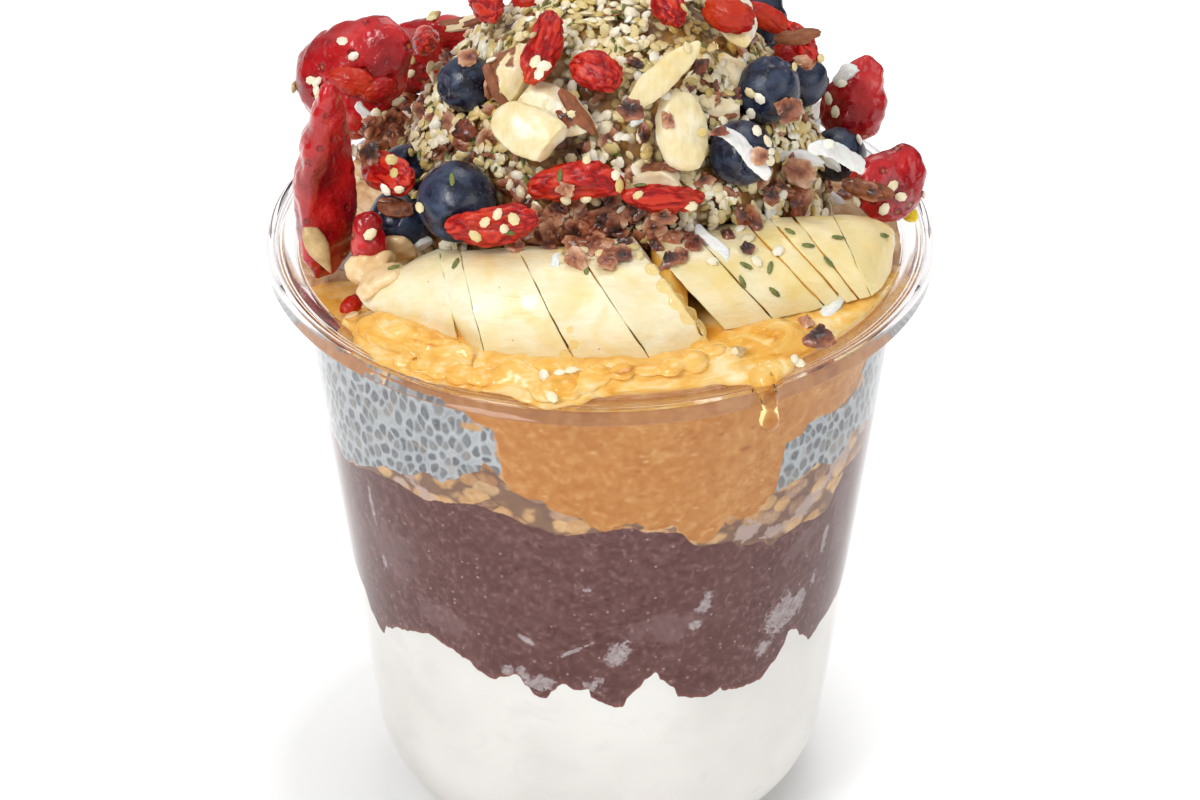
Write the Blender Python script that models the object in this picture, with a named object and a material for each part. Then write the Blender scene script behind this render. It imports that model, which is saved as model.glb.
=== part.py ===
"""Layered acai bowl in a clear, lidless plastic tub.

The frame stands on the middle of the tub's base: +Z is up, -Y is the front.
White yogurt, blended acai, granola, chia pudding and peanut butter lie in the tub one on another.
A row of sliced half banana lies along the front rim, and behind it rises a mound of hemp hearts
and cacao nibs with blueberries, strawberries, goji berries, nuts and coconut on it.
"""

import math
import random

import bmesh
import bpy
from mathutils import Euler, Matrix, Vector
from mathutils.bvhtree import BVHTree

MM = 0.001
CLEAR = 0.45 * MM  # between the food and the tub
SPLIT = 0.35 * MM  # between two foods that touch
STEEP_SPLIT = 0.9 * MM  # the same, measured upright, where the face between them is steep

# The tub
TUB_HEIGHT = 112 * MM
RIM_RADIUS = 58.5 * MM
MOUTH_RADIUS = 53.4 * MM  # outside of the wall, carried up to the rim's height
WALL_SLOPE = 0.13  # radius lost for each metre down
WALL = 0.6 * MM
BASE_CORNER = 17 * MM
FOOT_INNER = 20.5 * MM
FOOT_RISE = 1.2 * MM
RIM_LIP = 3.4 * MM
TUB_COLUMNS = 36

# Heights of the layers' upper faces at the wall, in millimetres below the rim, by degrees from the front
YOGURT_TOP = ((-180, -69), (-95, -66), (-62, -73), (-36, -66), (-18, -70), (-6, -71.5),
              (4, -64.5), (17, -71), (32, -73), (48, -69), (72, -72), (100, -66), (145, -71))
ACAI_TOP = ((-180, -36), (-100, -38), (-70, -37.5), (-52, -32), (-30, -30.5), (-8, -32.5),
            (10, -34.5), (24, -38), (42, -37), (66, -34.5), (90, -38), (135, -34))
GRANOLA_TOP = ((-180, -33.5), (-100, -36), (-70, -35.5), (-50, -29.5), (-30, -26), (-14, -28.5),
               (2, -32), (18, -34.5), (30, -32.5), (50, -31), (66, -31), (90, -35.5), (135, -31))
BUTTER_BOTTOM = ((-180, 7), (-110, 7), (-84, 3), (-66, -4.5), (-36, -5.5), (-28, -9), (-23.5, -23),
                 (-19, -31), (-8, -38), (34, -40), (41, -31), (46, -21.5), (60, -19), (67, -13),
                 (73, -4), (84, 3), (112, 7))
BUTTER_INSIDE = -7.0  # the same face at the middle of the tub
SURFACE_BACK = -3.0  # the filling's own top, at the back and the sides
SURFACE_FRONT = 1.6  # and at the front, where it is heaped to the rim
RIDGE = ((-180, 0), (-52, 0), (-44, 1.4), (36, 1.6), (49, 0), (100, 0))  # its height before the banana
# How far peanut butter lies out over the rim, in millimetres from the tub's mouth
SPILL = ((-180, 0.7), (-50, 0.7), (-43, 3.4), (-25, 3.6), (-17, 1.9), (-12, 3.7), (-8.5, 4.9),
         (-5, 3.7), (0, 1.1), (15, 0.9), (22, 2.0), (27.5, 4.5), (32, 3.3), (37, 1.0), (70, 0.7))

# The mound of toppings, a half dome
MOUND_CENTRE = Vector((2, 8, 110)) * MM
MOUND_HALF = Vector((41, 36, 47)) * MM
CORE_DEPTH = 3.2 * MM  # how far the bare core lies inside the mound's outline

# The cuts across the half banana, from left to right, in millimetres and degrees: the foot of the cut
# at the banana's front edge (x, y), the heading of the cut from straight forward, its lean to the left,
# half its length and its height
BANANA_CUTS = (
    (-23.8, -41.4, 6, 11, 11.5, 10.4),
    (-19.2, -45.0, 7, 12, 12.8, 11.4),
    (-4.3, -46.1, 14, 23, 13.8, 12.8),
    (8.3, -45.6, 18, 29, 14.0, 13.2),
    (18.7, -40.7, 19, 31, 13.8, 13.0),
    (20.9, -36.6, 23, 35, 12.6, 11.2),
    (29.3, -33.0, 24, 36, 12.4, 11.0),
    (38.2, -28.9, 25, 36, 12.0, 10.6),
    (41.7, -27.6, 23, 35, 11.6, 10.4),
    (44.0, -26.4, 20, 32, 11.0, 10.0),
    (46.2, -25.2, 12, 21, 9.8, 9.4),
)
BANANA_LEFT_END = ((-40.4, -27.6, -18, 4, 1.8, 2.4), (-37.8, -31.6, -12, 5, 4.4, 4.8),
                   (-30.6, -37.4, 0, 8, 8.6, 8.2))
BANANA_RIGHT_END = ((49.0, -20.4, 6, 12, 7.6, 8.0), (50.6, -15.6, 2, 6, 4.6, 5.2))
BANANA_GAP_AFTER = 5  # the wide gap comes after this slice
BANANA_REST = TUB_HEIGHT + 2.0 * MM

# Sections of the small foods. Along X they are (share of the half length, share of the full section);
# the blueberry's stand along Z as (up and down of its crown's points, height, radius)
BLUEBERRY_SECTIONS = ((0.0, -0.80, 0.56), (0.0, -0.30, 0.96), (0.0, 0.28, 0.96),
                      (0.0, 0.74, 0.64), (0.07, 0.90, 0.34), (0.0, 0.76, 0.22))
BLUEBERRY_COLUMNS = 10
GOJI_SECTIONS = ((-0.86, 0.50), (-0.45, 0.94), (0.05, 1.0), (0.52, 0.87), (0.88, 0.45))
GOJI_COLUMNS = 8
STRAWBERRY_SECTIONS = ((-0.92, 0.60), (-0.60, 0.93), (-0.10, 1.0), (0.45, 0.78), (0.84, 0.40))
STRAWBERRY_COLUMNS = 9  # over the skin, from one side of the cut face to the other
NUT_SECTIONS = ((-0.88, 0.52), (-0.55, 0.86), (-0.12, 1.0), (0.35, 0.86), (0.75, 0.50))
NUT_COLUMNS = 9
STRIP_STATIONS = 7
CRUMB_SECTIONS = ((-0.62, 0.74), (0.0, 1.0), (0.62, 0.70))
CRUMB_COLUMNS = 5

# The heap: rings of (climb in degrees, lumps in mm), then the crumbs that are strewn on it
HEAP_RINGS = ((-1, 0), (4, 0.5), (22, 0.9), (40, 0.9), (58, 0.9), (76, 0.6))
HEAP_COLUMNS = 18
HEAP_SEED = 5
CRUMB_TRIES = 84
CRUMB_SEED = 23
GOLDEN_ANGLE = 137.508  # degrees
CRUMB_START = 12  # mm outside the mound, from where each crumb drops
CRUMB_DEEPEST = 19 * MM  # a drop longer than this has fallen beside the mound
NIB_SIZE = ((5, 7.5), (3.6, 4.8), (2.6, 3.6))  # length, width and depth in mm, from and to
HEMP_SIZE = ((2.8, 3.4), (2.2, 2.6), (1.8, 2.2))
NIB_ROUGH = 0.22
HEMP_ROUGH = 0.05

COLOURS = {
    "tub": (0.86, 0.88, 0.90, 0.12, 0.0),
    "yogurt": (0.90, 0.885, 0.86, 0.35, 0.0),
    "acai": (0.115, 0.055, 0.065, 0.45, 0.0),
    "granola": (0.52, 0.32, 0.14, 0.75, 0.0),
    "chia": (0.42, 0.48, 0.55, 0.35, 0.0),
    "butter": (0.62, 0.33, 0.10, 0.40, 0.0),
    "banana": (0.83, 0.72, 0.42, 0.40, 0.0),
    "blueberry": (0.022, 0.032, 0.085, 0.40, 0.0),
    "strawberry": (0.42, 0.012, 0.014, 0.20, 0.0),
    "goji": (0.52, 0.035, 0.012, 0.38, 0.0),
    "nut": (0.82, 0.70, 0.44, 0.45, 0.0),
    "coconut": (0.86, 0.87, 0.86, 0.50, 0.0),
    "seeds": (0.42, 0.33, 0.20, 0.60, 0.0),
}


def finish_named(name):
    """The material of that name, made the first time it is asked for."""
    found = bpy.data.materials.get(name)
    if found:
        return found
    red, green, blue, roughness, metallic = COLOURS[name]
    made = bpy.data.materials.new(name)
    made.use_nodes = True
    shader = made.node_tree.nodes["Principled BSDF"]
    shader.inputs["Base Color"].default_value = (red, green, blue, 1)
    shader.inputs["Roughness"].default_value = roughness
    shader.inputs["Metallic"].default_value = metallic
    return made


def object_from(bm, name, finish, smooth_below=50):
    """Turns a bmesh into a named object with its finish, shaded smooth apart from sharp edges."""
    bmesh.ops.recalc_face_normals(bm, faces=bm.faces)
    mesh = bpy.data.meshes.new(name)
    bm.to_mesh(mesh)
    bm.free()
    mesh.shade_smooth()
    mesh.set_sharp_from_angle(angle=math.radians(smooth_below))
    mesh.materials.append(finish_named(finish))
    made = bpy.data.objects.new(name, mesh)
    bpy.context.scene.collection.objects.link(made)
    return made


def skin(loops, start, end, split=False):
    """A closed bmesh over a row of equal loops of points, closed by a fan to a point at each end.

    With split, each four-sided face is split along its shorter diagonal, so that two faces which lie
    one over the other are split alike and never cross.
    """
    bm = bmesh.new()
    rows = [[bm.verts.new(p) for p in loop] for loop in loops]
    count = len(rows[0])
    for low, high in zip(rows, rows[1:]):
        for i in range(count):
            j = (i + 1) % count
            a, b, c, d = low[i], low[j], high[j], high[i]
            if not split:
                bm.faces.new((a, b, c, d))
            elif (a.co - c.co).length < (b.co - d.co).length:
                bm.faces.new((a, b, c))
                bm.faces.new((a, c, d))
            else:
                bm.faces.new((a, b, d))
                bm.faces.new((b, c, d))
    for tip, row in ((start, rows[0]), (end, rows[-1])):
        centre = bm.verts.new(tip)
        for i in range(count):
            bm.faces.new((row[i], row[(i + 1) % count], centre))
    return bm


def smooth_step(low, high, value):
    share = min(1.0, max(0.0, (value - low) / (high - low)))
    return share * share * (3 - 2 * share)


def along(curve, degrees):
    """A closed curve of (degrees, value) points read at an angle, with eased steps between them."""
    angle = (degrees - curve[0][0]) % 360 + curve[0][0]
    closed = curve + ((curve[0][0] + 360, curve[0][1]),)
    for (a, low), (b, high) in zip(closed, closed[1:]):
        if a <= angle <= b:
            return low + (high - low) * smooth_step(a, b, angle)
    return curve[0][1]


def polar(degrees, radius, height):
    """The point at an angle from the front, positive towards +X."""
    turn = math.radians(degrees)
    return Vector((radius * math.sin(turn), -radius * math.cos(turn), height))


# The tub's outside: a straight slanting wall that runs into a round corner
SLOPE_ANGLE = math.atan(WALL_SLOPE)
CORNER_TOP = BASE_CORNER * (1 - math.sin(SLOPE_ANGLE))
FOOT_RADIUS = (MOUTH_RADIUS - WALL_SLOPE * (TUB_HEIGHT - CORNER_TOP)
               - BASE_CORNER * math.cos(SLOPE_ANGLE))


def tub_radius(height, inset):
    """Radius of the tub's outer face moved in by inset, at a height above the base."""
    round_part = BASE_CORNER - inset
    if height >= BASE_CORNER - round_part * math.sin(SLOPE_ANGLE):
        return MOUTH_RADIUS - WALL_SLOPE * (TUB_HEIGHT - height) - inset / math.cos(SLOPE_ANGLE)
    drop = min(round_part, BASE_CORNER - height)
    return FOOT_RADIUS + math.sqrt(round_part ** 2 - drop ** 2)


def corner_arc(inset, steps):
    """(radius, height) points of the base corner, from the foot up to the straight wall."""
    reach = BASE_CORNER - inset
    points = []
    for i in range(steps + 1):
        turn = -math.pi / 2 + (math.pi / 2 - SLOPE_ANGLE) * i / steps
        points.append((FOOT_RADIUS + reach * math.cos(turn), BASE_CORNER + reach * math.sin(turn)))
    return points


def tub():
    flange_under = TUB_HEIGHT - 1.1 * MM
    outside = [(FOOT_INNER - 1.5 * MM, FOOT_RISE), (FOOT_INNER, 0.0)] + corner_arc(0, 5)
    rim = [
        (tub_radius(flange_under, 0), flange_under),
        (RIM_RADIUS - 1.1 * MM, flange_under),
        (RIM_RADIUS - 0.9 * MM, TUB_HEIGHT - RIM_LIP),
        (RIM_RADIUS, TUB_HEIGHT - RIM_LIP),
        (RIM_RADIUS, TUB_HEIGHT - 0.7 * MM),
        (RIM_RADIUS - 0.8 * MM, TUB_HEIGHT),
        (MOUTH_RADIUS + 0.7 * MM, TUB_HEIGHT),
        (tub_radius(TUB_HEIGHT - 0.9 * MM, WALL), TUB_HEIGHT - 0.9 * MM),
    ]
    inside = corner_arc(WALL, 5)[::-1]
    floor = [(FOOT_INNER, WALL), (FOOT_INNER - 1.5 * MM, FOOT_RISE + WALL)]
    profile = outside + rim + inside + floor
    angles = [360 * i / TUB_COLUMNS for i in range(TUB_COLUMNS)]
    loops = [[polar(a, r, z) for a in angles] for r, z in profile]
    bm = skin(loops, (0, 0, FOOT_RISE), (0, 0, FOOT_RISE + WALL))
    return object_from(bm, "tub", "tub")


# Columns round the tub, closer together where the front shows the layers' edges
COLUMNS = [-76 + 5 * i for i in range(34)] + [89 + 195 * i / 10 for i in range(1, 10)]


def wall_height(curve, degrees):
    """Height above the base of a layer's edge at the wall, with the small waves of spooned food."""
    turn = math.radians(degrees)
    wave = 0.7 * math.sin(9 * turn + 1.0) + 0.5 * math.sin(17 * turn + 0.4)
    return TUB_HEIGHT + (along(curve, degrees) + wave) * MM


def layer_face(curve, inside_mm, degrees, share):
    """Height of a layer's face at a share of the way from the axis to the wall."""
    middle = TUB_HEIGHT + inside_mm * MM
    return middle + (wall_height(curve, degrees) - middle) * smooth_step(0.15, 0.95, share)


def filling(degrees, share):
    """Height of the filling's top, which is heaped to the rim at the front."""
    angle = (degrees + 180) % 360 - 180
    front = 1 - smooth_step(60, 74, abs(angle - 10))
    edge = SURFACE_BACK + (SURFACE_FRONT - SURFACE_BACK) * front
    base = -1.0 + (edge + 1.0) * smooth_step(0.1, 0.42, share)
    return TUB_HEIGHT + base * MM


def face_ring(face, share):
    """The points of a layer's face at a share of the way from the axis to the wall."""
    points = []
    for a in COLUMNS:
        height = face(a, share)
        points.append(polar(a, tub_radius(height, WALL + CLEAR) * share, height))
    return points


def layer(lower, upper):
    """A closed bmesh between two faces, each a function of (degrees, share), inside the tub's wall."""
    loops = [face_ring(lower, share) for share in (0.4, 0.8, 1)]
    loops += [face_ring(upper, share) for share in (1, 0.8, 0.4)]
    return skin(loops, (0, 0, lower(0, 0)), (0, 0, upper(0, 0)), split=True)


def yogurt_top(degrees, share):
    return layer_face(YOGURT_TOP, -68, degrees, share)


def acai_top(degrees, share):
    return layer_face(ACAI_TOP, -35, degrees, share)


def granola_top(degrees, share):
    return layer_face(GRANOLA_TOP, -31.5, degrees, share)


def butter_bottom(degrees, share):
    return layer_face(BUTTER_BOTTOM, BUTTER_INSIDE, degrees, share)


def lifted(face, by):
    return lambda degrees, share: face(degrees, share) + by


def yogurt():
    """Fills the tub's base, round corner and raised middle included."""
    inset = WALL + CLEAR
    floor = [
        (0.5 * FOOT_INNER, FOOT_RISE + inset),
        (FOOT_INNER - 0.9 * MM, FOOT_RISE + inset),
        (FOOT_INNER + 0.6 * MM, inset),
    ]
    floor += corner_arc(inset, 3)
    loops = [[polar(a, r, z) for a in COLUMNS] for r, z in floor]
    loops.append([polar(a, tub_radius(30 * MM, inset), 30 * MM) for a in COLUMNS])
    loops += [face_ring(yogurt_top, share) for share in (1, 0.8, 0.4)]
    bm = skin(loops, (0, 0, FOOT_RISE + inset), (0, 0, yogurt_top(0, 0)), split=True)
    return object_from(bm, "yogurt", "yogurt")


def butter_body():
    """All of the filling above the granola, with the ridge before the banana and the runs over the rim."""
    inset = WALL + CLEAR
    lower = lifted(granola_top, SPLIT)
    loops = [face_ring(lower, share) for share in (0.4, 0.8)]
    mouth = tub_radius(TUB_HEIGHT - 1.4 * MM, inset)
    sill = TUB_HEIGHT + CLEAR
    edge_rows = [[], [], [], [], [], [], [], []]
    for a in COLUMNS:
        low, top = lower(a, 1), filling(a, 1)
        brink = min(top - 1.0 * MM, TUB_HEIGHT - 1.6 * MM)
        rows = [(tub_radius(low, inset), low), (tub_radius(brink, inset), brink)]
        if top > TUB_HEIGHT + 1.2 * MM:
            edge = mouth + along(SPILL, a) * MM
            crest = top + along(RIDGE, a) * MM
            rows += [(mouth + 0.1 * MM, TUB_HEIGHT - 0.6 * MM),
                     (min(edge - 0.3 * MM, MOUTH_RADIUS + 0.4 * MM), sill),
                     (edge - 0.2 * MM, sill), (edge, sill + 0.5 * MM),
                     (edge - 1.0 * MM, sill + 0.75 * (crest - sill)), (mouth - 0.5 * MM, crest)]
        else:
            for back, part in ((0, 0.3), (0.1, 0.5), (0.2, 0.7), (0.35, 0.85), (0.5, 0.95), (1.0, 1.0)):
                height = brink + (top - brink) * part
                rows.append((tub_radius(height, inset) - back * MM, height))
        for row, (radius, height) in zip(edge_rows, rows):
            row.append(polar(a, radius, height))
    loops += edge_rows
    loops += [face_ring(filling, share) for share in (0.96, 0.8, 0.4)]
    return skin(loops, (0, 0, lower(0, 0)), (0, 0, filling(0, 0)), split=True)


def above_butter_bottom(drop):
    """Everything above the peanut butter's lower face, as a block wider than the tub."""
    shares = (0.35, 0.7, 1.0)
    wide = MOUTH_RADIUS + 12 * MM

    def height(a, share):
        return butter_bottom(a, min(1.0, share * wide / MOUTH_RADIUS)) - drop

    loops = [[polar(a, wide * s, height(a, s)) for a in COLUMNS] for s in shares]
    loops.append([polar(a, wide, TUB_HEIGHT + 30 * MM) for a in COLUMNS])
    return skin(loops, (0, 0, height(0, 0)), (0, 0, TUB_HEIGHT + 30 * MM), split=True)


def apply_boolean(target, other, operation, solver="EXACT"):
    """Joins, cuts or crosses the target with another object, and removes that object."""
    modifier = target.modifiers.new(operation.lower(), "BOOLEAN")
    modifier.operation = operation
    modifier.solver = solver
    for helper in (other.objects if isinstance(other, bpy.types.Collection) else [other]):
        helper.hide_render = True
        helper.display_type = "WIRE"
    if isinstance(other, bpy.types.Collection):
        modifier.operand_type = "COLLECTION"
        modifier.collection = other
    else:
        modifier.object = other
    graph = bpy.context.evaluated_depsgraph_get()
    result = bpy.data.meshes.new_from_object(target.evaluated_get(graph))
    target.modifiers.clear()
    target.data = result
    helpers = list(other.objects) if isinstance(other, bpy.types.Collection) else [other]
    for helper in helpers:
        bpy.data.objects.remove(helper)
    return target


def butter_and_chia():
    """Peanut butter lies over the chia pudding, and reaches down the front wall to the granola."""
    butter = object_from(butter_body(), "peanut_butter", "butter")
    apply_boolean(butter, object_from(above_butter_bottom(0), "space", "butter"), "INTERSECT")
    chia = object_from(layer(lifted(granola_top, SPLIT), filling), "chia_pudding", "chia")
    apply_boolean(chia, object_from(above_butter_bottom(STEEP_SPLIT), "space", "chia"), "DIFFERENCE")
    return butter, chia


def banana_section(cut, shift=0.0):
    """A half-round section through the banana, leaning to the left, with its flat face down."""
    x, y, heading, lean, half, height = cut
    turn = math.radians(heading)
    back = Vector((-math.sin(turn), math.cos(turn), 0))
    left = Vector((-math.cos(turn), -math.sin(turn), 0))
    foot = Vector((x, y, 0)) * MM - left * shift
    points = []
    for i in range(9):
        around = math.pi * i / 8
        up = height * MM * math.sin(around) ** 0.9
        point = foot + back * half * MM * (1 - math.cos(around)) + left * math.tan(math.radians(lean)) * up
        points.append(point + Vector((0, 0, BANANA_REST + up)))
    return points


def centre_of(points):
    return sum(points, Vector()) / len(points)


def banana_slices():
    """Each slice spans two neighbouring cuts, a hair short of both, and the end slices taper off."""
    hair = 0.16 * MM
    made = []
    spans = [(BANANA_CUTS[i], BANANA_CUTS[i + 1]) for i in range(len(BANANA_CUTS) - 1)]
    del spans[BANANA_GAP_AFTER - 1]
    sections = [[banana_section(cut) for cut in BANANA_LEFT_END] + [banana_section(BANANA_CUTS[0], -hair)]]
    for start, end in spans:
        sections.append([banana_section(start, hair), banana_section(end, -hair)])
    sections.append([banana_section(BANANA_CUTS[-1], hair)] + [banana_section(cut) for cut in BANANA_RIGHT_END])
    for number, loops in enumerate(sections):
        first, last = centre_of(loops[0]), centre_of(loops[-1])
        if number == 0:
            first += Vector((-1.6, 0.4, 0)) * MM
        if number == len(sections) - 1:
            last += Vector((1.2, 1.0, 0)) * MM
        bm = skin(loops, first, last)
        made.append(object_from(bm, f"banana_slice_{number + 1:02d}", "banana", 40))
    return made


def seat(degrees, climb, out_mm, spin=0.0, lean=0.0, pitch=0.0):
    """A place on the mound: turned about the outward normal by spin, then leant about its own axes.

    degrees is the way round from the front and climb the way up, from 0 at the foot to 90 at the peak.
    """
    turn, rise = math.radians(degrees), math.radians(climb)
    on_ball = Vector((math.sin(turn) * math.cos(rise), -math.cos(turn) * math.cos(rise), math.sin(rise)))
    place = MOUND_CENTRE + Vector(a * b for a, b in zip(MOUND_HALF, on_ball))
    normal = Vector(a / b for a, b in zip(on_ball, MOUND_HALF)).normalized()
    level = Vector((math.cos(turn), math.sin(turn), 0))
    level = (level - normal * level.dot(normal)).normalized()
    frame = Matrix((level, normal.cross(level), normal)).transposed().to_4x4()
    frame.translation = place + normal * out_mm * MM
    turns = Euler((math.radians(lean), math.radians(pitch), 0)).to_matrix().to_4x4()
    return frame @ Matrix.Rotation(math.radians(spin), 4, "Z") @ turns


def standing(x, y, z, turn=(0, 0, 0)):
    """A place in the frame itself, in millimetres and degrees."""
    frame = Euler([math.radians(t) for t in turn]).to_matrix().to_4x4()
    frame.translation = Vector((x, y, z)) * MM
    return frame


def blueberry_mesh(diameter):
    """A slightly flat ball with the open, five-pointed crown at its top."""
    half = diameter / 2
    loops = []
    for lift, height, radius in BLUEBERRY_SECTIONS:
        ring = []
        for i in range(BLUEBERRY_COLUMNS):
            point = polar(360 * i / BLUEBERRY_COLUMNS, half * radius, half * height)
            point.z += half * lift * (1 if i % 2 else -1)
            ring.append(point)
        loops.append(ring)
    return skin(loops, (0, 0, -0.97 * half), (0, 0, 0.72 * half))


def goji_mesh(length, width, depth, seed):
    """A dried berry along X: a flattened, wrinkled spindle with blunt ends and a slight bend."""
    rng = random.Random(seed)
    bend = rng.uniform(-0.08, 0.08) * length
    loops = []
    for x, size in GOJI_SECTIONS:
        ring = []
        for i in range(GOJI_COLUMNS):
            turn = math.tau * i / GOJI_COLUMNS
            crease = 1 + 0.10 * math.cos(3 * turn + seed) + rng.uniform(-0.07, 0.07)
            side = width / 2 * size * crease * math.cos(turn) + bend * (1 - x * x)
            ring.append(Vector((length / 2 * x, side, depth / 2 * size * crease * math.sin(turn))))
        loops.append(ring)
    return skin(loops, (-length / 2, bend * 0.1, 0), (length / 2, bend * 0.1, 0))


def strawberry_mesh(length, width, thickness):
    """A berry cut lengthwise along X: its skin is up, its cut face down, its shoulder at -X and tip at +X."""
    loops = []
    for x, size in STRAWBERRY_SECTIONS:
        ring = []
        for i in range(STRAWBERRY_COLUMNS + 1):
            turn = math.pi * i / STRAWBERRY_COLUMNS
            across = width / 2 * size * math.cos(turn)
            height = thickness * size * math.sin(turn) ** 0.8
            ring.append(Vector((length / 2 * x, across, height)))
        ring.append(Vector((length / 2 * x, 0, 0)))
        loops.append(ring)
    return skin(loops, (-0.97 * length / 2, 0, 0.25 * thickness), (length / 2, 0, 0.14 * thickness))


def nut_mesh(length, width, depth, keep_from, keep_to):
    """Part of an almond along X: a flattened pointed drop, broken off flat at one or both ends."""
    loops = []
    for x, size in NUT_SECTIONS:
        ring = []
        for i in range(NUT_COLUMNS):
            turn = math.tau * i / NUT_COLUMNS
            ring.append(Vector((length / 2 * x, width / 2 * size * math.cos(turn),
                                depth / 2 * size * math.sin(turn))))
        loops.append(ring)
    bm = skin(loops, (-length / 2, 0, 0), (length / 2, 0, 0))
    for share, way, tilt in ((keep_from, -1, 0.35), (keep_to, 1, -0.25)):
        if abs(share) >= 1:
            continue
        everything = bm.verts[:] + bm.edges[:] + bm.faces[:]
        cut = bmesh.ops.bisect_plane(
            bm, geom=everything, plane_co=(share * length / 2, 0, 0),
            plane_no=(way, tilt, 0.2), clear_outer=True)
        edges = [e for e in cut["geom_cut"] if isinstance(e, bmesh.types.BMEdge)]
        bmesh.ops.edgeloop_fill(bm, edges=edges)
    return bm


def strip_mesh(length, width, thickness, curl, twist):
    """A shaved strip along X: thin, curled out of its own plane and twisted, with ragged ends."""
    loops = []
    for i in range(STRIP_STATIONS):
        share = i / (STRIP_STATIONS - 1)
        x = length * (share - 0.5)
        bow = curl * length * (1 - (2 * share - 1) ** 2) + 0.04 * length * math.sin(9 * share)
        turn = twist * (share - 0.5)
        half = width / 2 * (0.72 + 0.28 * math.sin(math.pi * share))
        across = Vector((0, math.cos(turn), math.sin(turn)))
        thick = Vector((0, -math.sin(turn), math.cos(turn))) * thickness / 2
        middle = Vector((x, 0.06 * length * math.sin(5 * share), bow))
        loops.append([middle + across * half + thick, middle + across * half - thick,
                      middle - across * half - thick, middle - across * half + thick])
    return skin(loops, centre_of(loops[0]), centre_of(loops[-1]))


def put(bm, name, finish, place, smooth_below=60):
    """Makes the piece at its place, with the place in the object's own matrix."""
    made = object_from(bm, name, finish, smooth_below)
    made.matrix_world = place
    return made


# Each topping's sizes in millimetres and its place: on the mound by seat(), or by standing() where it
# leans on the rim
BLUEBERRIES = (
    (15.0, seat(-41, 23, 2.8, 20, 35, 30)),
    (12.2, standing(-34.4, -10.6, 120.4, (50, -30, 0))),
    (12.2, seat(40, 34, 0.4, 0, 20, -20)),
    (12.2, seat(66, 43, -0.8, 10, -30, 25)),
    (10.4, seat(90, 16, 0.2, 0, 30, 30)),
    (10.4, seat(97, 34, -1.0, 0, 10, 10)),
    (11.0, standing(-33.6, 2.6, 122.4, (30, 20, 0))),
    (10.8, seat(-64, 46, -1.4, 0, 30, 0)),
    (12.8, seat(127, 19, 0.0, 0, 30, 10)),
    (12.4, seat(182, 24, 0.8, 0, -25, 25)),
    (13.4, seat(126, 42, 0.0, 0, 20, -30)),
    (12.2, seat(178, 58, 0.0, 0, 10, 20)),
)

STRAWBERRIES = (
    (39, 12, 8.0, standing(-45.4, -15.6, 130.4, (12, -86, -64))),
    (14, 5.5, 3.4, standing(-39.6, -18.6, 119.8, (10, 82, -50))),
    (24, 20, 8.0, standing(-41.4, 13.5, 137.0, (66, -50, -10))),
    (16.5, 12, 5.6, standing(45.4, 20.5, 128.0, (62, -70, 16))),
    (14.5, 13, 5.0, standing(50.4, 2.2, 121.0, (66, -42, 34))),
    (26, 20, 8.0, standing(-29.0, 41.5, 123.5, (-66, -30, -22))),
    (26, 19, 7.5, standing(25.0, 43.0, 123.0, (-64, 24, 22))),
)

GOJI_BERRIES = (
    (13.6, 7.2, 5.0, seat(-60, 22, 6.8, 16, 0, 6)),
    (17.2, 7.6, 4.2, seat(-26.5, 23, 9.2, 20, 14, 2)),
    (17.0, 6.8, 5.0, seat(-9, 31, 3.4, 8, 0, 0)),
    (14.6, 5.0, 4.4, seat(13, 29, 3.2, -8, 0, 0)),
    (13.8, 6.6, 5.2, seat(-30, 59, 4.9, 98, 0, 0)),
    (9.2, 7.6, 5.6, seat(-6, 56, 3.4, -20, 0, 0)),
    (11.8, 5.6, 4.6, seat(-86, 60, 2.4, 14, 0, 0)),
    (9.0, 6.0, 4.8, seat(46, 72, 2.4, 60, 0, 0)),
    (10.6, 6.0, 4.8, seat(96, 68, 2.4, -40, 0, 0)),
    (9.0, 4.8, 4.2, seat(85, 45, 5.4, 80, 0, 0)),
    (12.6, 5.2, 4.4, seat(-104, 40, 2.6, 25, 0, 0)),
    (12.8, 6.0, 4.8, seat(-160, 44, 2.2, 20, 0, 0)),
)

# length, width, depth, then where the nut is broken off at either end, from -1 to 1
NUTS = (
    (17, 9, 5.2, -0.1, 1.0, seat(-43, 50, 2.0, 76, 10, 0)),
    (18, 8.6, 5.0, -0.6, 1.0, seat(-22, 47, 0.6, -8, 8, 0)),
    (18, 9.4, 5.0, -1.0, 0.35, seat(-21, 40.5, 5.2, -14, 0, 0)),
    (19, 5.4, 2.4, -1.0, 1.0, seat(19, 54, 4.6, 32, 0, 0)),
    (16, 9.6, 4.6, -1.0, 0.75, seat(22, 43, 1.6, 84, 0, 0)),
    (17, 9.0, 4.4, -0.3, 1.0, seat(72, 60, 2.6, 10, 0, 0)),
    (20, 11, 5.6, -1.0, 0.4, seat(-130, 62, 1.2, 40, 0, 0)),
)

COCONUT = (
    (13.0, 3.0, 0.9, 0.05, 0.5, seat(33, 35, 8.8, -52, 0, 0)),
    (15.0, 3.6, 0.9, 0.10, 0.6, seat(58, 27, 9.4, -34, 0, 0)),
)


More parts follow.
